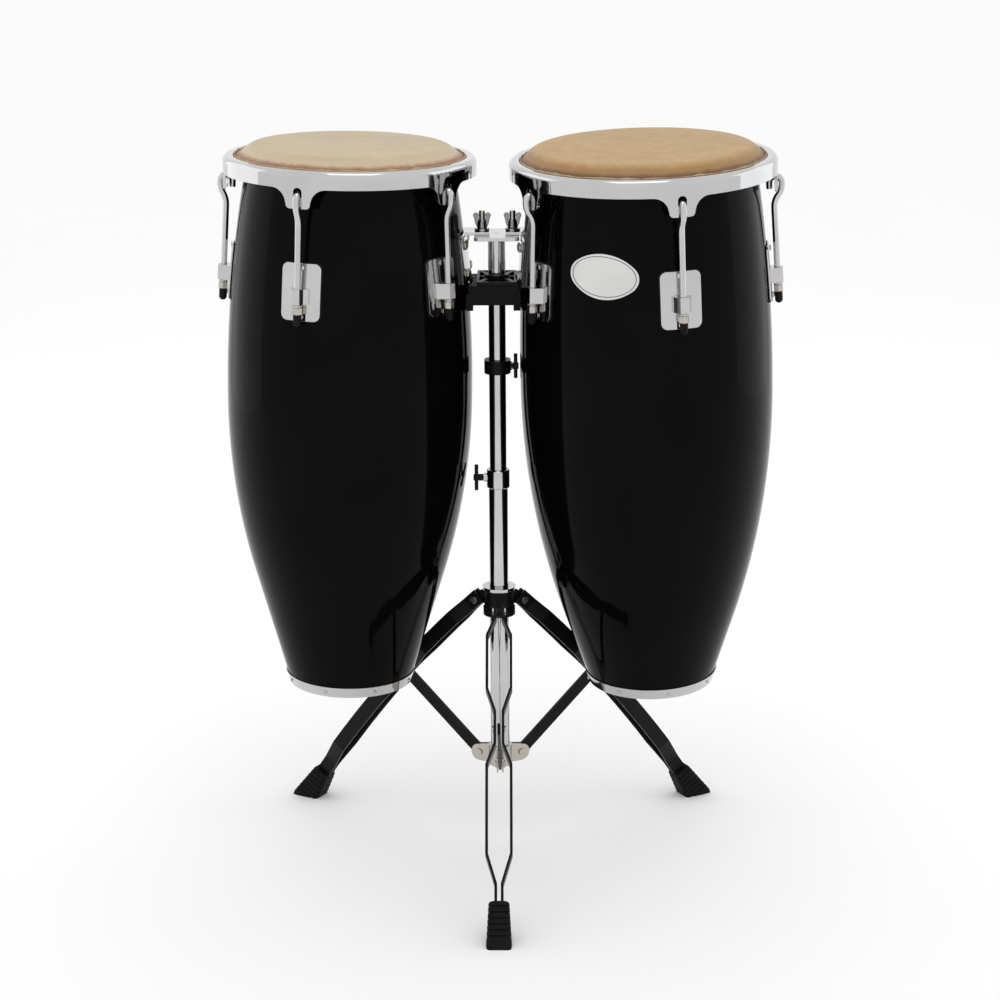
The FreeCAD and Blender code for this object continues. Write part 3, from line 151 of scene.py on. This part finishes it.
class Surface:
    """A node material: a Principled shader with small helpers that add nodes in front of it."""

    def __init__(self, name, **constants):
        self.material = bpy.data.materials.new(name)
        self.material.use_nodes = True
        self.tree = self.material.node_tree
        self.shader = self.tree.nodes["Principled BSDF"]
        for socket, value in constants.items():
            self.shader.inputs[socket.replace("_", " ")].default_value = value
        self.place = self.node("ShaderNodeTexCoord").outputs["Object"]

    def seen_from(self, matrix):
        """Measures the material's places in another frame, such as a drum's own."""
        inverse = matrix.inverted()
        mapping = self.node("ShaderNodeMapping")
        mapping.inputs["Rotation"].default_value = inverse.to_euler()
        mapping.inputs["Location"].default_value = inverse.translation
        self.link(self.place, mapping.inputs["Vector"])
        self.place = mapping.outputs["Vector"]

    def node(self, kind, **settings):
        made = self.tree.nodes.new(kind)
        for name, value in settings.items():
            setattr(made, name, value)
        return made

    def link(self, source, target):
        self.tree.links.new(source, target)

    def feed(self, socket, value):
        """Gives a socket a node's output, a colour or a number."""
        if isinstance(value, bpy.types.NodeSocket):
            self.link(value, socket)
        elif hasattr(value, "__len__"):
            socket.default_value = tuple(value) + (1,)
        else:
            socket.default_value = value

    def axes(self):
        """The place's own X, Y and Z."""
        made = self.node("ShaderNodeSeparateXYZ")
        self.link(self.place, made.inputs["Vector"])
        return made.outputs

    def noise(self, scale, detail, roughness=0.5, stretch=None, distortion=0.0):
        """Noise over the material's places; stretch scales the axes apart."""
        made = self.node("ShaderNodeTexNoise")
        made.inputs["Scale"].default_value = scale
        made.inputs["Detail"].default_value = detail
        made.inputs["Roughness"].default_value = roughness
        made.inputs["Distortion"].default_value = distortion
        place = self.place
        if stretch is not None:
            mapping = self.node("ShaderNodeMapping")
            mapping.inputs["Scale"].default_value = stretch
            self.link(place, mapping.inputs["Vector"])
            place = mapping.outputs["Vector"]
        self.link(place, made.inputs["Vector"])
        return made.outputs["Fac"]

    def ramp(self, value, *stops):
        """A colour ramp from (position, colour or grey) stops."""
        made = self.node("ShaderNodeValToRGB")
        elements = made.color_ramp.elements
        while len(elements) < len(stops):
            elements.new(0.5)
        for element, (position, colour) in zip(elements, stops):
            rgb = tuple(colour) if hasattr(colour, "__len__") else (colour, colour, colour)
            element.position = position
            element.color = rgb + (1,)
        self.link(value, made.inputs["Fac"])
        return made.outputs["Color"]

    def math(self, operation, first, second=None):
        """A Math node; the operations on one value take no second."""
        made = self.node("ShaderNodeMath", operation=operation)
        self.feed(made.inputs[0], first)
        if second is not None:
            self.feed(made.inputs[1], second)
        return made.outputs["Value"]

    def mix(self, share, first, second, blend="MIX"):
        made = self.node("ShaderNodeMix", data_type="RGBA", blend_type=blend)
        self.feed(made.inputs[MIX_SHARE], share)
        self.feed(made.inputs[MIX_FIRST], first)
        self.feed(made.inputs[MIX_SECOND], second)
        return made.outputs[MIX_RESULT]

    def set(self, **sources):
        """Feeds the shader's own sockets from nodes."""
        for socket, source in sources.items():
            self.link(source, self.shader.inputs[socket.replace("_", " ")])

    def bump(self, height, depth, edge=0.0):
        """A bump of that depth, over edges rounded in the shader where an edge radius is given."""
        made = self.node("ShaderNodeBump")
        made.inputs["Strength"].default_value = 1.0
        made.inputs["Distance"].default_value = depth
        self.link(height, made.inputs["Height"])
        if edge:
            rounded = self.node("ShaderNodeBevel", samples=4)
            rounded.inputs["Radius"].default_value = edge
            self.link(rounded.outputs["Normal"], made.inputs["Normal"])
        self.link(made.outputs["Normal"], self.shader.inputs["Normal"])
        return self


def shaded(colour, factor):
    """A colour made darker or lighter, as far as white."""
    return [min(1, factor * channel) for channel in colour]


# Materials --------------------------------------------------------------------------------------------

def lacquer():
    """Black gloss lacquer over wood: deep, with a faint orange peel and hairline wear."""
    made = Surface("lacquer", Specular_IOR_Level=0.05, IOR=1.5)
    cloud = made.noise(9, 2)
    made.set(Base_Color=made.ramp(cloud, (0.3, 0.0012), (0.75, 0.0022)))
    scratches = made.noise(60, 5, 0.6, stretch=(1, 1, 0.15))
    made.set(Roughness=made.ramp(scratches, (0.35, 0.05), (0.8, 0.09)))
    return made.bump(made.noise(55, 2), 0.00004).material


def bare_wood(side, matrix):
    """The inside of the shell: bare staves, each with its own tone, and the glue lines between them."""
    made = Surface("bare_wood_" + side, Roughness=0.75, Specular_IOR_Level=0.2)
    made.seen_from(matrix)
    axes = made.axes()
    turn = made.math("ARCTAN2", axes["Y"], axes["X"])
    count = made.math("MULTIPLY", made.math("ADD", turn, math.pi), STAVES / (2 * math.pi))
    stave = made.node("ShaderNodeTexWhiteNoise", noise_dimensions="1D")
    made.link(made.math("FLOOR", count), stave.inputs["W"])
    grain = made.noise(70, 6, 0.6, stretch=(1, 1, 0.06), distortion=0.6)
    dark, middle, light = (0.20, 0.115, 0.058), (0.33, 0.205, 0.11), (0.42, 0.28, 0.16)
    wood = made.ramp(grain, (0.25, dark), (0.55, middle), (0.8, light))
    tone = made.ramp(stave.outputs["Value"], (0.0, 0.55), (1.0, 1.0))
    toned = made.mix(0.45, wood, tone, "MULTIPLY")
    joint = made.ramp(made.math("PINGPONG", count, 0.5), (0.0, 0.3), (0.02, 1.0))
    made.set(Base_Color=made.mix(1.0, toned, joint, "MULTIPLY"))
    return made.bump(grain, 0.0002).material


def rawhide(name, matrix, face, edge, collar, crown):
    """Cured hide: cloudy and faintly veined, with one colour over the bend and a browner collar."""
    made = Surface(name, Specular_IOR_Level=0.35)
    made.seen_from(matrix)
    clouds = made.noise(7, 5, 0.55)
    veins = made.noise(38, 6, 0.7, distortion=1.2)
    flecks = made.noise(260, 3, 0.6)
    skin = made.ramp(clouds, (0.3, shaded(face, 0.86)), (0.5, face), (0.72, shaded(face, 1.1)))
    veined = made.ramp(veins, (0.35, (0.78, 0.70, 0.58)), (0.6, 1.0))
    skin = made.mix(0.35, skin, veined, "MULTIPLY")
    flecked = made.ramp(flecks, (0.3, (0.75, 0.68, 0.55)), (0.62, 1.0))
    skin = made.mix(0.25, skin, flecked, "MULTIPLY")
    wander = made.math("MULTIPLY", made.math("SUBTRACT", veins, 0.5), HIDE_WANDER)
    drop = made.math("SUBTRACT", crown, made.math("ADD", made.axes()["Z"], wander))
    share = made.math("DIVIDE", drop, SKIN_BEND)
    over_bend = made.mix(made.ramp(share, (0.0, 0.0), (0.3, 0.9)), skin, edge)
    made.set(Base_Color=made.mix(made.ramp(share, (0.42, 0.0), (0.60, 0.95)), over_bend, collar))
    made.set(Roughness=made.ramp(clouds, (0.3, 0.42), (0.75, 0.55)))
    return made.bump(veins, 0.00015).material


def chrome(name, tint, low, high):
    """Polished plate over metal that isn't quite flat, with fine wiping marks."""
    made = Surface(name, Metallic=1.0)
    stain = made.noise(14, 4)
    made.set(Base_Color=made.ramp(stain, (0.3, shaded(tint, 0.9)), (0.7, tint)))
    wiping = made.noise(130, 6, 0.65, stretch=(1, 1, 0.3))
    made.set(Roughness=made.ramp(wiping, (0.3, low), (0.75, high)))
    return made.bump(made.noise(38, 2), 0.0001, edge=0.0005).material


def coated(name, colour, low, high, grain, depth, edge=0.0004, gloss=0.12):
    """Paint, powder coat, rubber, moulded plastic or a cut edge: a fine grain and slightly uneven sheen."""
    made = Surface(name, Specular_IOR_Level=gloss)
    tone = made.noise(25, 4)
    made.set(Base_Color=made.ramp(tone, (0.3, shaded(colour, 0.7)), (0.7, shaded(colour, 1.25))))
    made.set(Roughness=made.ramp(made.noise(90, 3), (0.3, low), (0.7, high)))
    return made.bump(made.noise(grain, 3), depth, edge=edge).material


MATERIALS = {
    "lacquer": lacquer(),
    "chrome": chrome("chrome", (0.57, 0.57, 0.575), 0.04, 0.09),
    "nickel": chrome("nickel", (0.52, 0.49, 0.44), 0.18, 0.3),
    "steel": chrome("steel", (0.45, 0.45, 0.46), 0.3, 0.45),
    "black_metal": coated("black_metal", (0.0055, 0.0055, 0.006), 0.3, 0.42, 900, 0.00003),
    "rubber": coated("rubber", (0.0045, 0.0045, 0.0045), 0.5, 0.65, 700, 0.00006),
    "gasket": coated("gasket", (0.008, 0.008, 0.008), 0.6, 0.7, 800, 0.00003),
    "nylon": coated("nylon", (0.012, 0.012, 0.013), 0.35, 0.45, 600, 0.00003, gloss=0.25),
    "badge": chrome("badge", (0.70, 0.70, 0.69), 0.28, 0.4),
}
# the wing nuts' chrome: its colour is darkened well below the other chrome as a painted dark reflection of the
# surroundings
NUT_PLATE_PAINTED_DARK_REFLECTION = chrome("nut_plate_painted_dark_reflection", (0.26, 0.26, 0.265), 0.1, 0.2)
ENAMEL = coated("enamel", (0.02, 0.02, 0.022), 0.2, 0.3, 300, 0.00002, gloss=0.4)
# each hide's colours: its face, over the bend, and its collar
HIDES = {
    "left": ((0.50, 0.405, 0.26), (0.54, 0.43, 0.30), (0.30, 0.14, 0.08)),
    "right": ((0.455, 0.295, 0.125), (0.30, 0.165, 0.06), (0.15, 0.07, 0.03)),
}


def dress_nodes():
    """Every CAD node whose slot in the record has a material here takes it."""
    for row in frame["record"]["subparts"]:
        if row["material_slot"] in MATERIALS:
            node = NODES[row["node"]]
            node.data.materials.clear()
            node.data.materials.append(MATERIALS[row["material_slot"]])


# Making pieces ----------------------------------------------------------------------------------------

def finish_piece(name, bm, matrix, body, materials, replaced=(), smooth=40):
    """Turns a bmesh into a piece that rides on a body, takes the given materials and stands for CAD nodes."""
    bm.transform(matrix)
    bmesh.ops.recalc_face_normals(bm, faces=bm.faces)
    mesh = bpy.data.meshes.new(name)
    bm.to_mesh(mesh)
    bm.free()
    mesh.shade_smooth()
    mesh.set_sharp_from_angle(angle=math.radians(smooth))
    for material in materials:
        mesh.materials.append(material)
    piece = bpy.data.objects.new(name, mesh)
    bpy.context.scene.collection.objects.link(piece)
    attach(piece, body)
    if replaced:
        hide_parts(*replaced)
    return piece


def turns_of(steps):
    """Equal turns round a full circle."""
    return [2 * math.pi * step / steps for step in range(steps)]


def bridge(bm, loops, closed=False, material_at=None):
    """Rows of faces from each loop of corners to the next, and from the last to the first if closed."""
    pairs = list(zip(loops, loops[1:]))
    if closed:
        pairs.append((loops[-1], loops[0]))
    for row, (loop, after) in enumerate(pairs):
        for step in range(len(loop)):
            following = (step + 1) % len(loop)
            corners = (loop[step], loop[following], after[following], after[step])
            face = bm.faces.new(tuple(dict.fromkeys(corners)))
            if material_at is not None:
                face.material_index = material_at(row)


def lathe(profile, steps, material_at=None, closed=False):
    """A turned surface about local Z from (radius, height) points; a radius of 0 makes one point."""
    bm = bmesh.new()
    rings = []
    for radius, height in profile:
        if radius == 0:
            rings.append([bm.verts.new((0, 0, height))] * steps)
        else:
            rings.append([bm.verts.new((radius * math.cos(turn), radius * math.sin(turn), height))
                          for turn in turns_of(steps)])
    bridge(bm, rings, closed, material_at)
    return bm


class Drum:
    """One drum's own frame, with its foot at the origin and its axis up, and measures of its CAD nodes."""

    def __init__(self, side):
        self.side = side
        up = Vector(JOINTS[side + "_head_slacken"]["axis"]).normalized()
        low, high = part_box(side + "_bottom_band")
        deep = up.cross(Vector((1, 0, 0))).normalized()
        self.matrix = Matrix((deep.cross(up), deep, up)).transposed().to_4x4()
        self.matrix.translation = (low + high) / 2 - up * BAND_HIGH / 2
        self.inverse = self.matrix.inverted()

    def points(self, node):
        """A CAD node's corners as (distance from the axis, height)."""
        local = [self.inverse @ vertex.co for vertex in NODES[self.side + node].data.vertices]
        return [(point.xy.length, point.z) for point in local]

    def tree(self, node):
        """A CAD node's faces, ready for rays."""
        mesh = NODES[self.side + node].data
        return BVHTree.FromPolygons([self.inverse @ vertex.co for vertex in mesh.vertices],
                                    [tuple(face.vertices) for face in mesh.polygons])

    def wall(self, tree, height):
        """The shell's outer and inner radius at a height: the middle values of rays at several turns."""
        outer, inner = [], []
        centre = Vector((0, 0, height))
        for turn in RAY_TURNS:
            way = Vector((math.cos(turn), math.sin(turn), 0))
            outer.append(RAY_FROM - (tree.ray_cast(centre + way * RAY_FROM, -way)[3] or 0))
            inner.append(tree.ray_cast(centre, way)[3] or 0)
        middle = len(RAY_TURNS) // 2
        return sorted(outer)[middle], sorted(inner)[middle]


# Drums ------------------------------------------------------------------------------------------------

def make_shell(drum):
    """Lacquered shell: one smooth skin outside, bare staves inside."""
    tree = drum.tree("_shell")
    top = max(height for _, height in drum.points("_shell"))
    heights = [ABOVE_FOOT + (top - SHELL_EDGE) * row / SHELL_ROWS for row in range(SHELL_ROWS + 1)]
    heights += [top - SHELL_EDGE * (1 - math.sin(math.pi / 2 * row / SHELL_EDGE_ROWS)) - BELOW_TOP
                for row in range(1, SHELL_EDGE_ROWS + 1)]
    walls = [drum.wall(tree, height) for height in heights]
    outside = [(walls[0][0], 0)] + [(outer, height) for (outer, _), height in zip(walls, heights)]
    inside = [(inner, height) for (_, inner), height in zip(walls, heights)]
    profile = outside + inside[::-1] + [(walls[0][1], 0)]
    bm = lathe(profile, SHELL_STEPS, lambda row: int(row >= len(outside)), closed=True)
    finish_piece(drum.side + "_shell_skin", bm, drum.matrix, drum.side + "_drum",
                 [MATERIALS["lacquer"], bare_wood(drum.side, drum.matrix)], [drum.side + "_shell"])


def head_profile(crown, flat, roll_out, roll_up):
    """The hide from the middle of its face, over the bend and round the roll, and back underneath."""
    profile = [(flat * ring / FACE_RINGS, crown) for ring in range(FACE_RINGS + 1)]
    turns = [SKIN_BEND_TURN * row / BEND_ROWS for row in range(1, BEND_ROWS + 1)]
    profile += [(flat + SKIN_BEND * math.sin(t), crown - SKIN_BEND * (1 - math.cos(t))) for t in turns]
    profile += [(roll_out + ROLL * math.cos(t), roll_up + ROLL * math.sin(t)) for t in ROLL_TURNS]
    inner = SKIN_BEND - SKIN
    profile += [(flat + inner * math.sin(t), crown - SKIN - inner * (1 - math.cos(t))) for t in turns[::-1]]
    return profile + [(flat, crown - SKIN), (0, crown - SKIN)]


def make_head(drum):
    """Rawhide head, very slightly uneven, and the trimmed edge of its hide."""
    points = drum.points("_head")
    crown = max(height for _, height in points)
    flat = max(radius for radius, height in points if height > crown - FACE_WITHIN)
    roll_out = max(radius for radius, _ in points) - ROLL
    roll_up = min(height for _, height in points) + ROLL
    bm = lathe(head_profile(crown, flat, roll_out, roll_up), HEAD_STEPS)
    for vertex in bm.verts:
        wave = noise.noise(vertex.co * 16) + 0.5 * noise.noise(vertex.co * 45)
        vertex.co.z -= SKIN_WAVE * (1.5 + wave) / 3
    face, edge, collar = HIDES[drum.side]
    hide = rawhide("rawhide_" + drum.side, drum.matrix, face, edge, collar, crown)
    body, slot = drum.side + "_head", "rawhide_" + drum.side
    finish_piece(drum.side + "_skin", bm, drum.matrix, body, [hide], [drum.side + "_head"], smooth=60)
    make_trimmed_edge(drum, crown, roll_up, body)


def make_trimmed_edge(drum, crown, roll_up, body):
    """The trimmed edge of the hide, ragged along the top, which stands up inside the rim."""
    rim_in = min(radius for radius, height in drum.points("_rim") if height > crown - RIM_WITHIN)
    inner = rim_in - TRIM_IN
    low, high = roll_up + TRIM_OVER_ROLL, crown - TRIM_UNDER_CROWN
    bm = bmesh.new()
    loops = [[], [], [], []]
    for turn in turns_of(TRIM_STEPS):
        way = Vector((math.cos(turn), math.sin(turn), 0))
        ragged = noise.noise(way * 9) * 1.6 * MM + noise.noise(way * 31) * 0.7 * MM
        waver = noise.noise(way * 14) * 0.25 * MM
        section = ((inner, low), (inner + 1.0 * MM, low), (inner + 0.9 * MM, high + ragged),
                   (inner + 0.2 * MM, high + ragged + 0.3 * MM))
        for loop, (radius, height) in zip(loops, section):
            loop.append(bm.verts.new(way * (radius + waver) + UP * height))
    bridge(bm, loops, closed=True)
    trimmed = coated("hide_edge_" + drum.side, TRIM_COLOUR, 0.6, 0.75, 300, 0.0002, edge=0, gloss=0.2)
    finish_piece(drum.side + "_skin_edge", bm, drum.matrix, body, [trimmed])


def make_badge_border():
    """A plain enamel line just inside the edge of the blank badge."""
    mesh = NODES["right_badge"].data
    corners = [vertex.co for vertex in mesh.vertices]
    centre = sum(corners, Vector()) / len(corners)
    drum = Drum("right")
    local = drum.inverse @ centre
    out = (drum.matrix.to_3x3() @ Vector((local.x, local.y, 0))).normalized()
    up = drum.matrix.to_3x3() @ UP
    across = up.cross(out).normalized()
    wide = across * math.cos(BADGE_TILT) + up * math.sin(BADGE_TILT)
    tall = up * math.cos(BADGE_TILT) - across * math.sin(BADGE_TILT)
    reach = max(abs((co - centre).dot(wide)) for co in corners)
    rise = max(abs((co - centre).dot(tall)) for co in corners)
    tree = BVHTree.FromPolygons(corners, [tuple(face.vertices) for face in mesh.polygons])
    bm = bmesh.new()
    loops = []
    far_in = BORDER_IN + BORDER_WIDE
    for inset, lift in ((BORDER_IN, BORDER_SUNK), (BORDER_IN, BORDER_PROUD),
                        (far_in, BORDER_PROUD), (far_in, BORDER_SUNK)):
        loop = []
        for turn in turns_of(BORDER_STEPS):
            aim = centre + wide * (reach - inset) * math.cos(turn) + tall * (rise - inset) * math.sin(turn)
            hit = tree.ray_cast(aim + out * BORDER_RAY, -out)[0] or aim
            loop.append(bm.verts.new(hit + out * lift))
        loops.append(loop)
    bridge(bm, loops, closed=True)
    finish_piece("badge_border", bm, Matrix.Identity(4), "right_drum", [ENAMEL])


# Stand ------------------------------------------------------------------------------------------------

def foot_section(side, half, corner):
    """Points round a block with cut and softened corners."""
    points = []
    per_corner = FOOT_STEPS // 4
    for quarter, (x_way, y_way) in enumerate(((1, 1), (-1, 1), (-1, -1), (1, -1))):
        for step in range(per_corner):
            turn = math.pi / 2 * (quarter + step / (per_corner - 1))
            points.append((x_way * (side - corner) + corner * math.cos(turn),
                           y_way * (half - corner) + corner * math.sin(turn)))
    return points


def foot_stations():
    """Where the foot's sections lie along it, and how far each is in from the plain block."""
    stations = list(ANKLE)
    for rib in range(FOOT_RIBS):
        near = FIRST_RIB + rib * RIB_STEP
        stations += [(near + distance, inset) for distance, inset in RIB]
    return stations + [(FOOT_LENGTH - distance, inset) for distance, inset in TOE]


def make_foot(leg):
    """Ribbed rubber foot, rounded at its corners and at the toe, cut level with the floor."""
    hinge = JOINTS[leg + "_leg_fold"]
    across = Vector(hinge["axis"]).normalized()
    out = across.cross(UP)
    along = out * math.cos(FOOT_LEAN) - UP * math.sin(FOOT_LEAN)
    normal = along.cross(across)
    corners = [vertex.co for vertex in NODES[leg + "_foot"].data.vertices]
    start = min(co.dot(along) for co in corners)
    first = [co for co in corners if co.dot(along) < start + FOOT_END_WITHIN]
    middle = sum(first, Vector()) / len(first)
    wide = max(co.dot(across) for co in first) - middle.dot(across)
    deep = max(co.dot(normal) for co in first) - middle.dot(normal)
    bm = bmesh.new()
    rings = []
    for distance, inset in foot_stations():
        share = distance / FOOT_LENGTH
        section = foot_section(wide + FOOT_GROWS_WIDE * share - inset,
                               deep + FOOT_GROWS_DEEP * share - inset, FOOT_CORNER)
        centre = middle + along * distance
        rings.append([bm.verts.new(centre + across * x + normal * y) for x, y in section])
    bridge(bm, rings)
    bm.faces.new(rings[0])
    bm.faces.new(rings[-1])
    bmesh.ops.remove_doubles(bm, verts=bm.verts, dist=MERGE_WITHIN)
    cut = bmesh.ops.bisect_plane(bm, geom=bm.verts[:] + bm.edges[:] + bm.faces[:], plane_co=(0, 0, 0),
                                 plane_no=-UP, clear_outer=True)
    edges = [item for item in cut["geom_cut"] if isinstance(item, bmesh.types.BMEdge)]
    bmesh.ops.edgeloop_fill(bm, edges=edges)
    finish_piece(leg + "_rubber_foot", bm, Matrix.Identity(4), leg + "_leg",
                 [MATERIALS["rubber"]], [leg + "_foot"], smooth=50)


def lobed_wing(way):
    """The outline of one wing of a wing nut, with a round lobe; its numbers are millimetres."""
    lobe_out, lobe_up, lobe = 7.6, 16.2, 3.6
    turns = [math.radians(turn) for turn in range(-45, 166, 15)]
    points = [(3.2, 1.2), (6.4, 1.6), (8.6, 6.0)]
    points += [(lobe_out + lobe * math.cos(turn), lobe_up + lobe * math.sin(turn)) for turn in turns]
    points += [(4.6, 12.6), (3.2, 9.0)]
    return [(way * x * MM, z * MM) for x, z in points]


def make_wing_nut(side):
    """Cast wing nut: a tapered hub with a bore, and two flat, lobed wings."""
    node = side + "_wing_nut"
    low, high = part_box(node)
    centre = (low + high) / 2
    place = Matrix.Translation((centre.x, centre.y, low.z))
    bore, hub, shoulder, tall = 4.1 * MM, 6.6 * MM, 5.6 * MM, 10.4 * MM
    bm = lathe([(bore, 0), (hub - 0.5 * MM, 0), (hub, 0.6 * MM), (hub, 2 * MM), (shoulder, tall - 1 * MM),
                (shoulder - 1 * MM, tall), (bore, tall)], HUB_STEPS, closed=True)
    for way in (1, -1):
        outline = lobed_wing(way)
        sides = [[bm.verts.new((x, depth, z)) for x, z in outline] for depth in (-WING_HALF, WING_HALF)]
        for loop in sides:
            bm.faces.new(loop)
        bridge(bm, sides)
    piece = finish_piece(side + "_cast_wing_nut", bm, place, node, [NUT_PLATE_PAINTED_DARK_REFLECTION], [node], smooth=35)
    rounding = piece.modifiers.new("rounding", "BEVEL")
    rounding.width = WING_ROUNDING
    rounding.segments = 3
    rounding.limit_method = "ANGLE"
    rounding.angle_limit = math.radians(50)


# Studio -----------------------------------------------------------------------------------------------

def make_camera():
    """The camera, at the photograph's angle."""
    data = bpy.data.cameras.new("camera")
    data.lens = CAMERA_LENS
    data.sensor_width = CAMERA_SENSOR
    forward = Vector((math.sin(CAMERA_YAW) * math.cos(CAMERA_DOWN),
                      math.cos(CAMERA_YAW) * math.cos(CAMERA_DOWN), -math.sin(CAMERA_DOWN)))
    level = Vector((math.cos(CAMERA_YAW), -math.sin(CAMERA_YAW), 0))
    right = level * math.cos(CAMERA_ROLL) + level.cross(forward) * math.sin(CAMERA_ROLL)
    up = right.cross(forward)
    camera = bpy.data.objects.new("camera", data)
    facing = Matrix((right, up, -forward)).transposed().to_4x4()
    camera.matrix_world = Matrix.Translation(CAMERA_AT) @ facing
    bpy.context.scene.collection.objects.link(camera)
    bpy.context.scene.camera = camera


def softbox(name, place, target, width, height, power, colour):
    """A soft rectangular light that faces its target."""
    data = bpy.data.lights.new(name, "AREA")
    data.shape = "RECTANGLE"
    data.size = width
    data.size_y = height
    data.energy = power
    data.color = colour
    light = bpy.data.objects.new(name, data)
    light.location = place
    light.rotation_euler = (Vector(target) - Vector(place)).to_track_quat("-Z", "Y").to_euler()
    bpy.context.scene.collection.objects.link(light)


def make_studio():
    """A pale paper floor, a white surround and the softboxes."""
    mesh = bpy.data.meshes.new("floor")
    sheet = [(x * FLOOR_HALF, y * FLOOR_HALF, 0) for x, y in ((-1, -1), (1, -1), (1, 1), (-1, 1))]
    mesh.from_pydata(sheet, [], [(0, 1, 2, 3)])
    floor = bpy.data.objects.new("floor", mesh)
    bpy.context.scene.collection.objects.link(floor)
    paper = Surface("paper", Roughness=0.9, Specular_IOR_Level=0.1)
    paper.set(Base_Color=paper.ramp(paper.noise(3, 2), (0.2, 0.955), (0.8, 0.965)))
    mesh.materials.append(paper.material)
    world = bpy.data.worlds.new("studio")
    bpy.context.scene.world = world
    world.use_nodes = True
    surround = world.node_tree.nodes["Background"]
    surround.inputs["Color"].default_value = (1, 1, 1, 1)
    surround.inputs["Strength"].default_value = 1.0
    for name, settings in SOFTBOXES.items():
        softbox(name, *settings)
    bpy.context.scene.view_settings.view_transform = "Standard"


dress_nodes()
for side in SIDES:
    drum = Drum(side)
    make_shell(drum)
    make_head(drum)
    make_wing_nut(side)
make_badge_border()
for leg in LEGS:
    make_foot(leg)
make_camera()
make_studio()
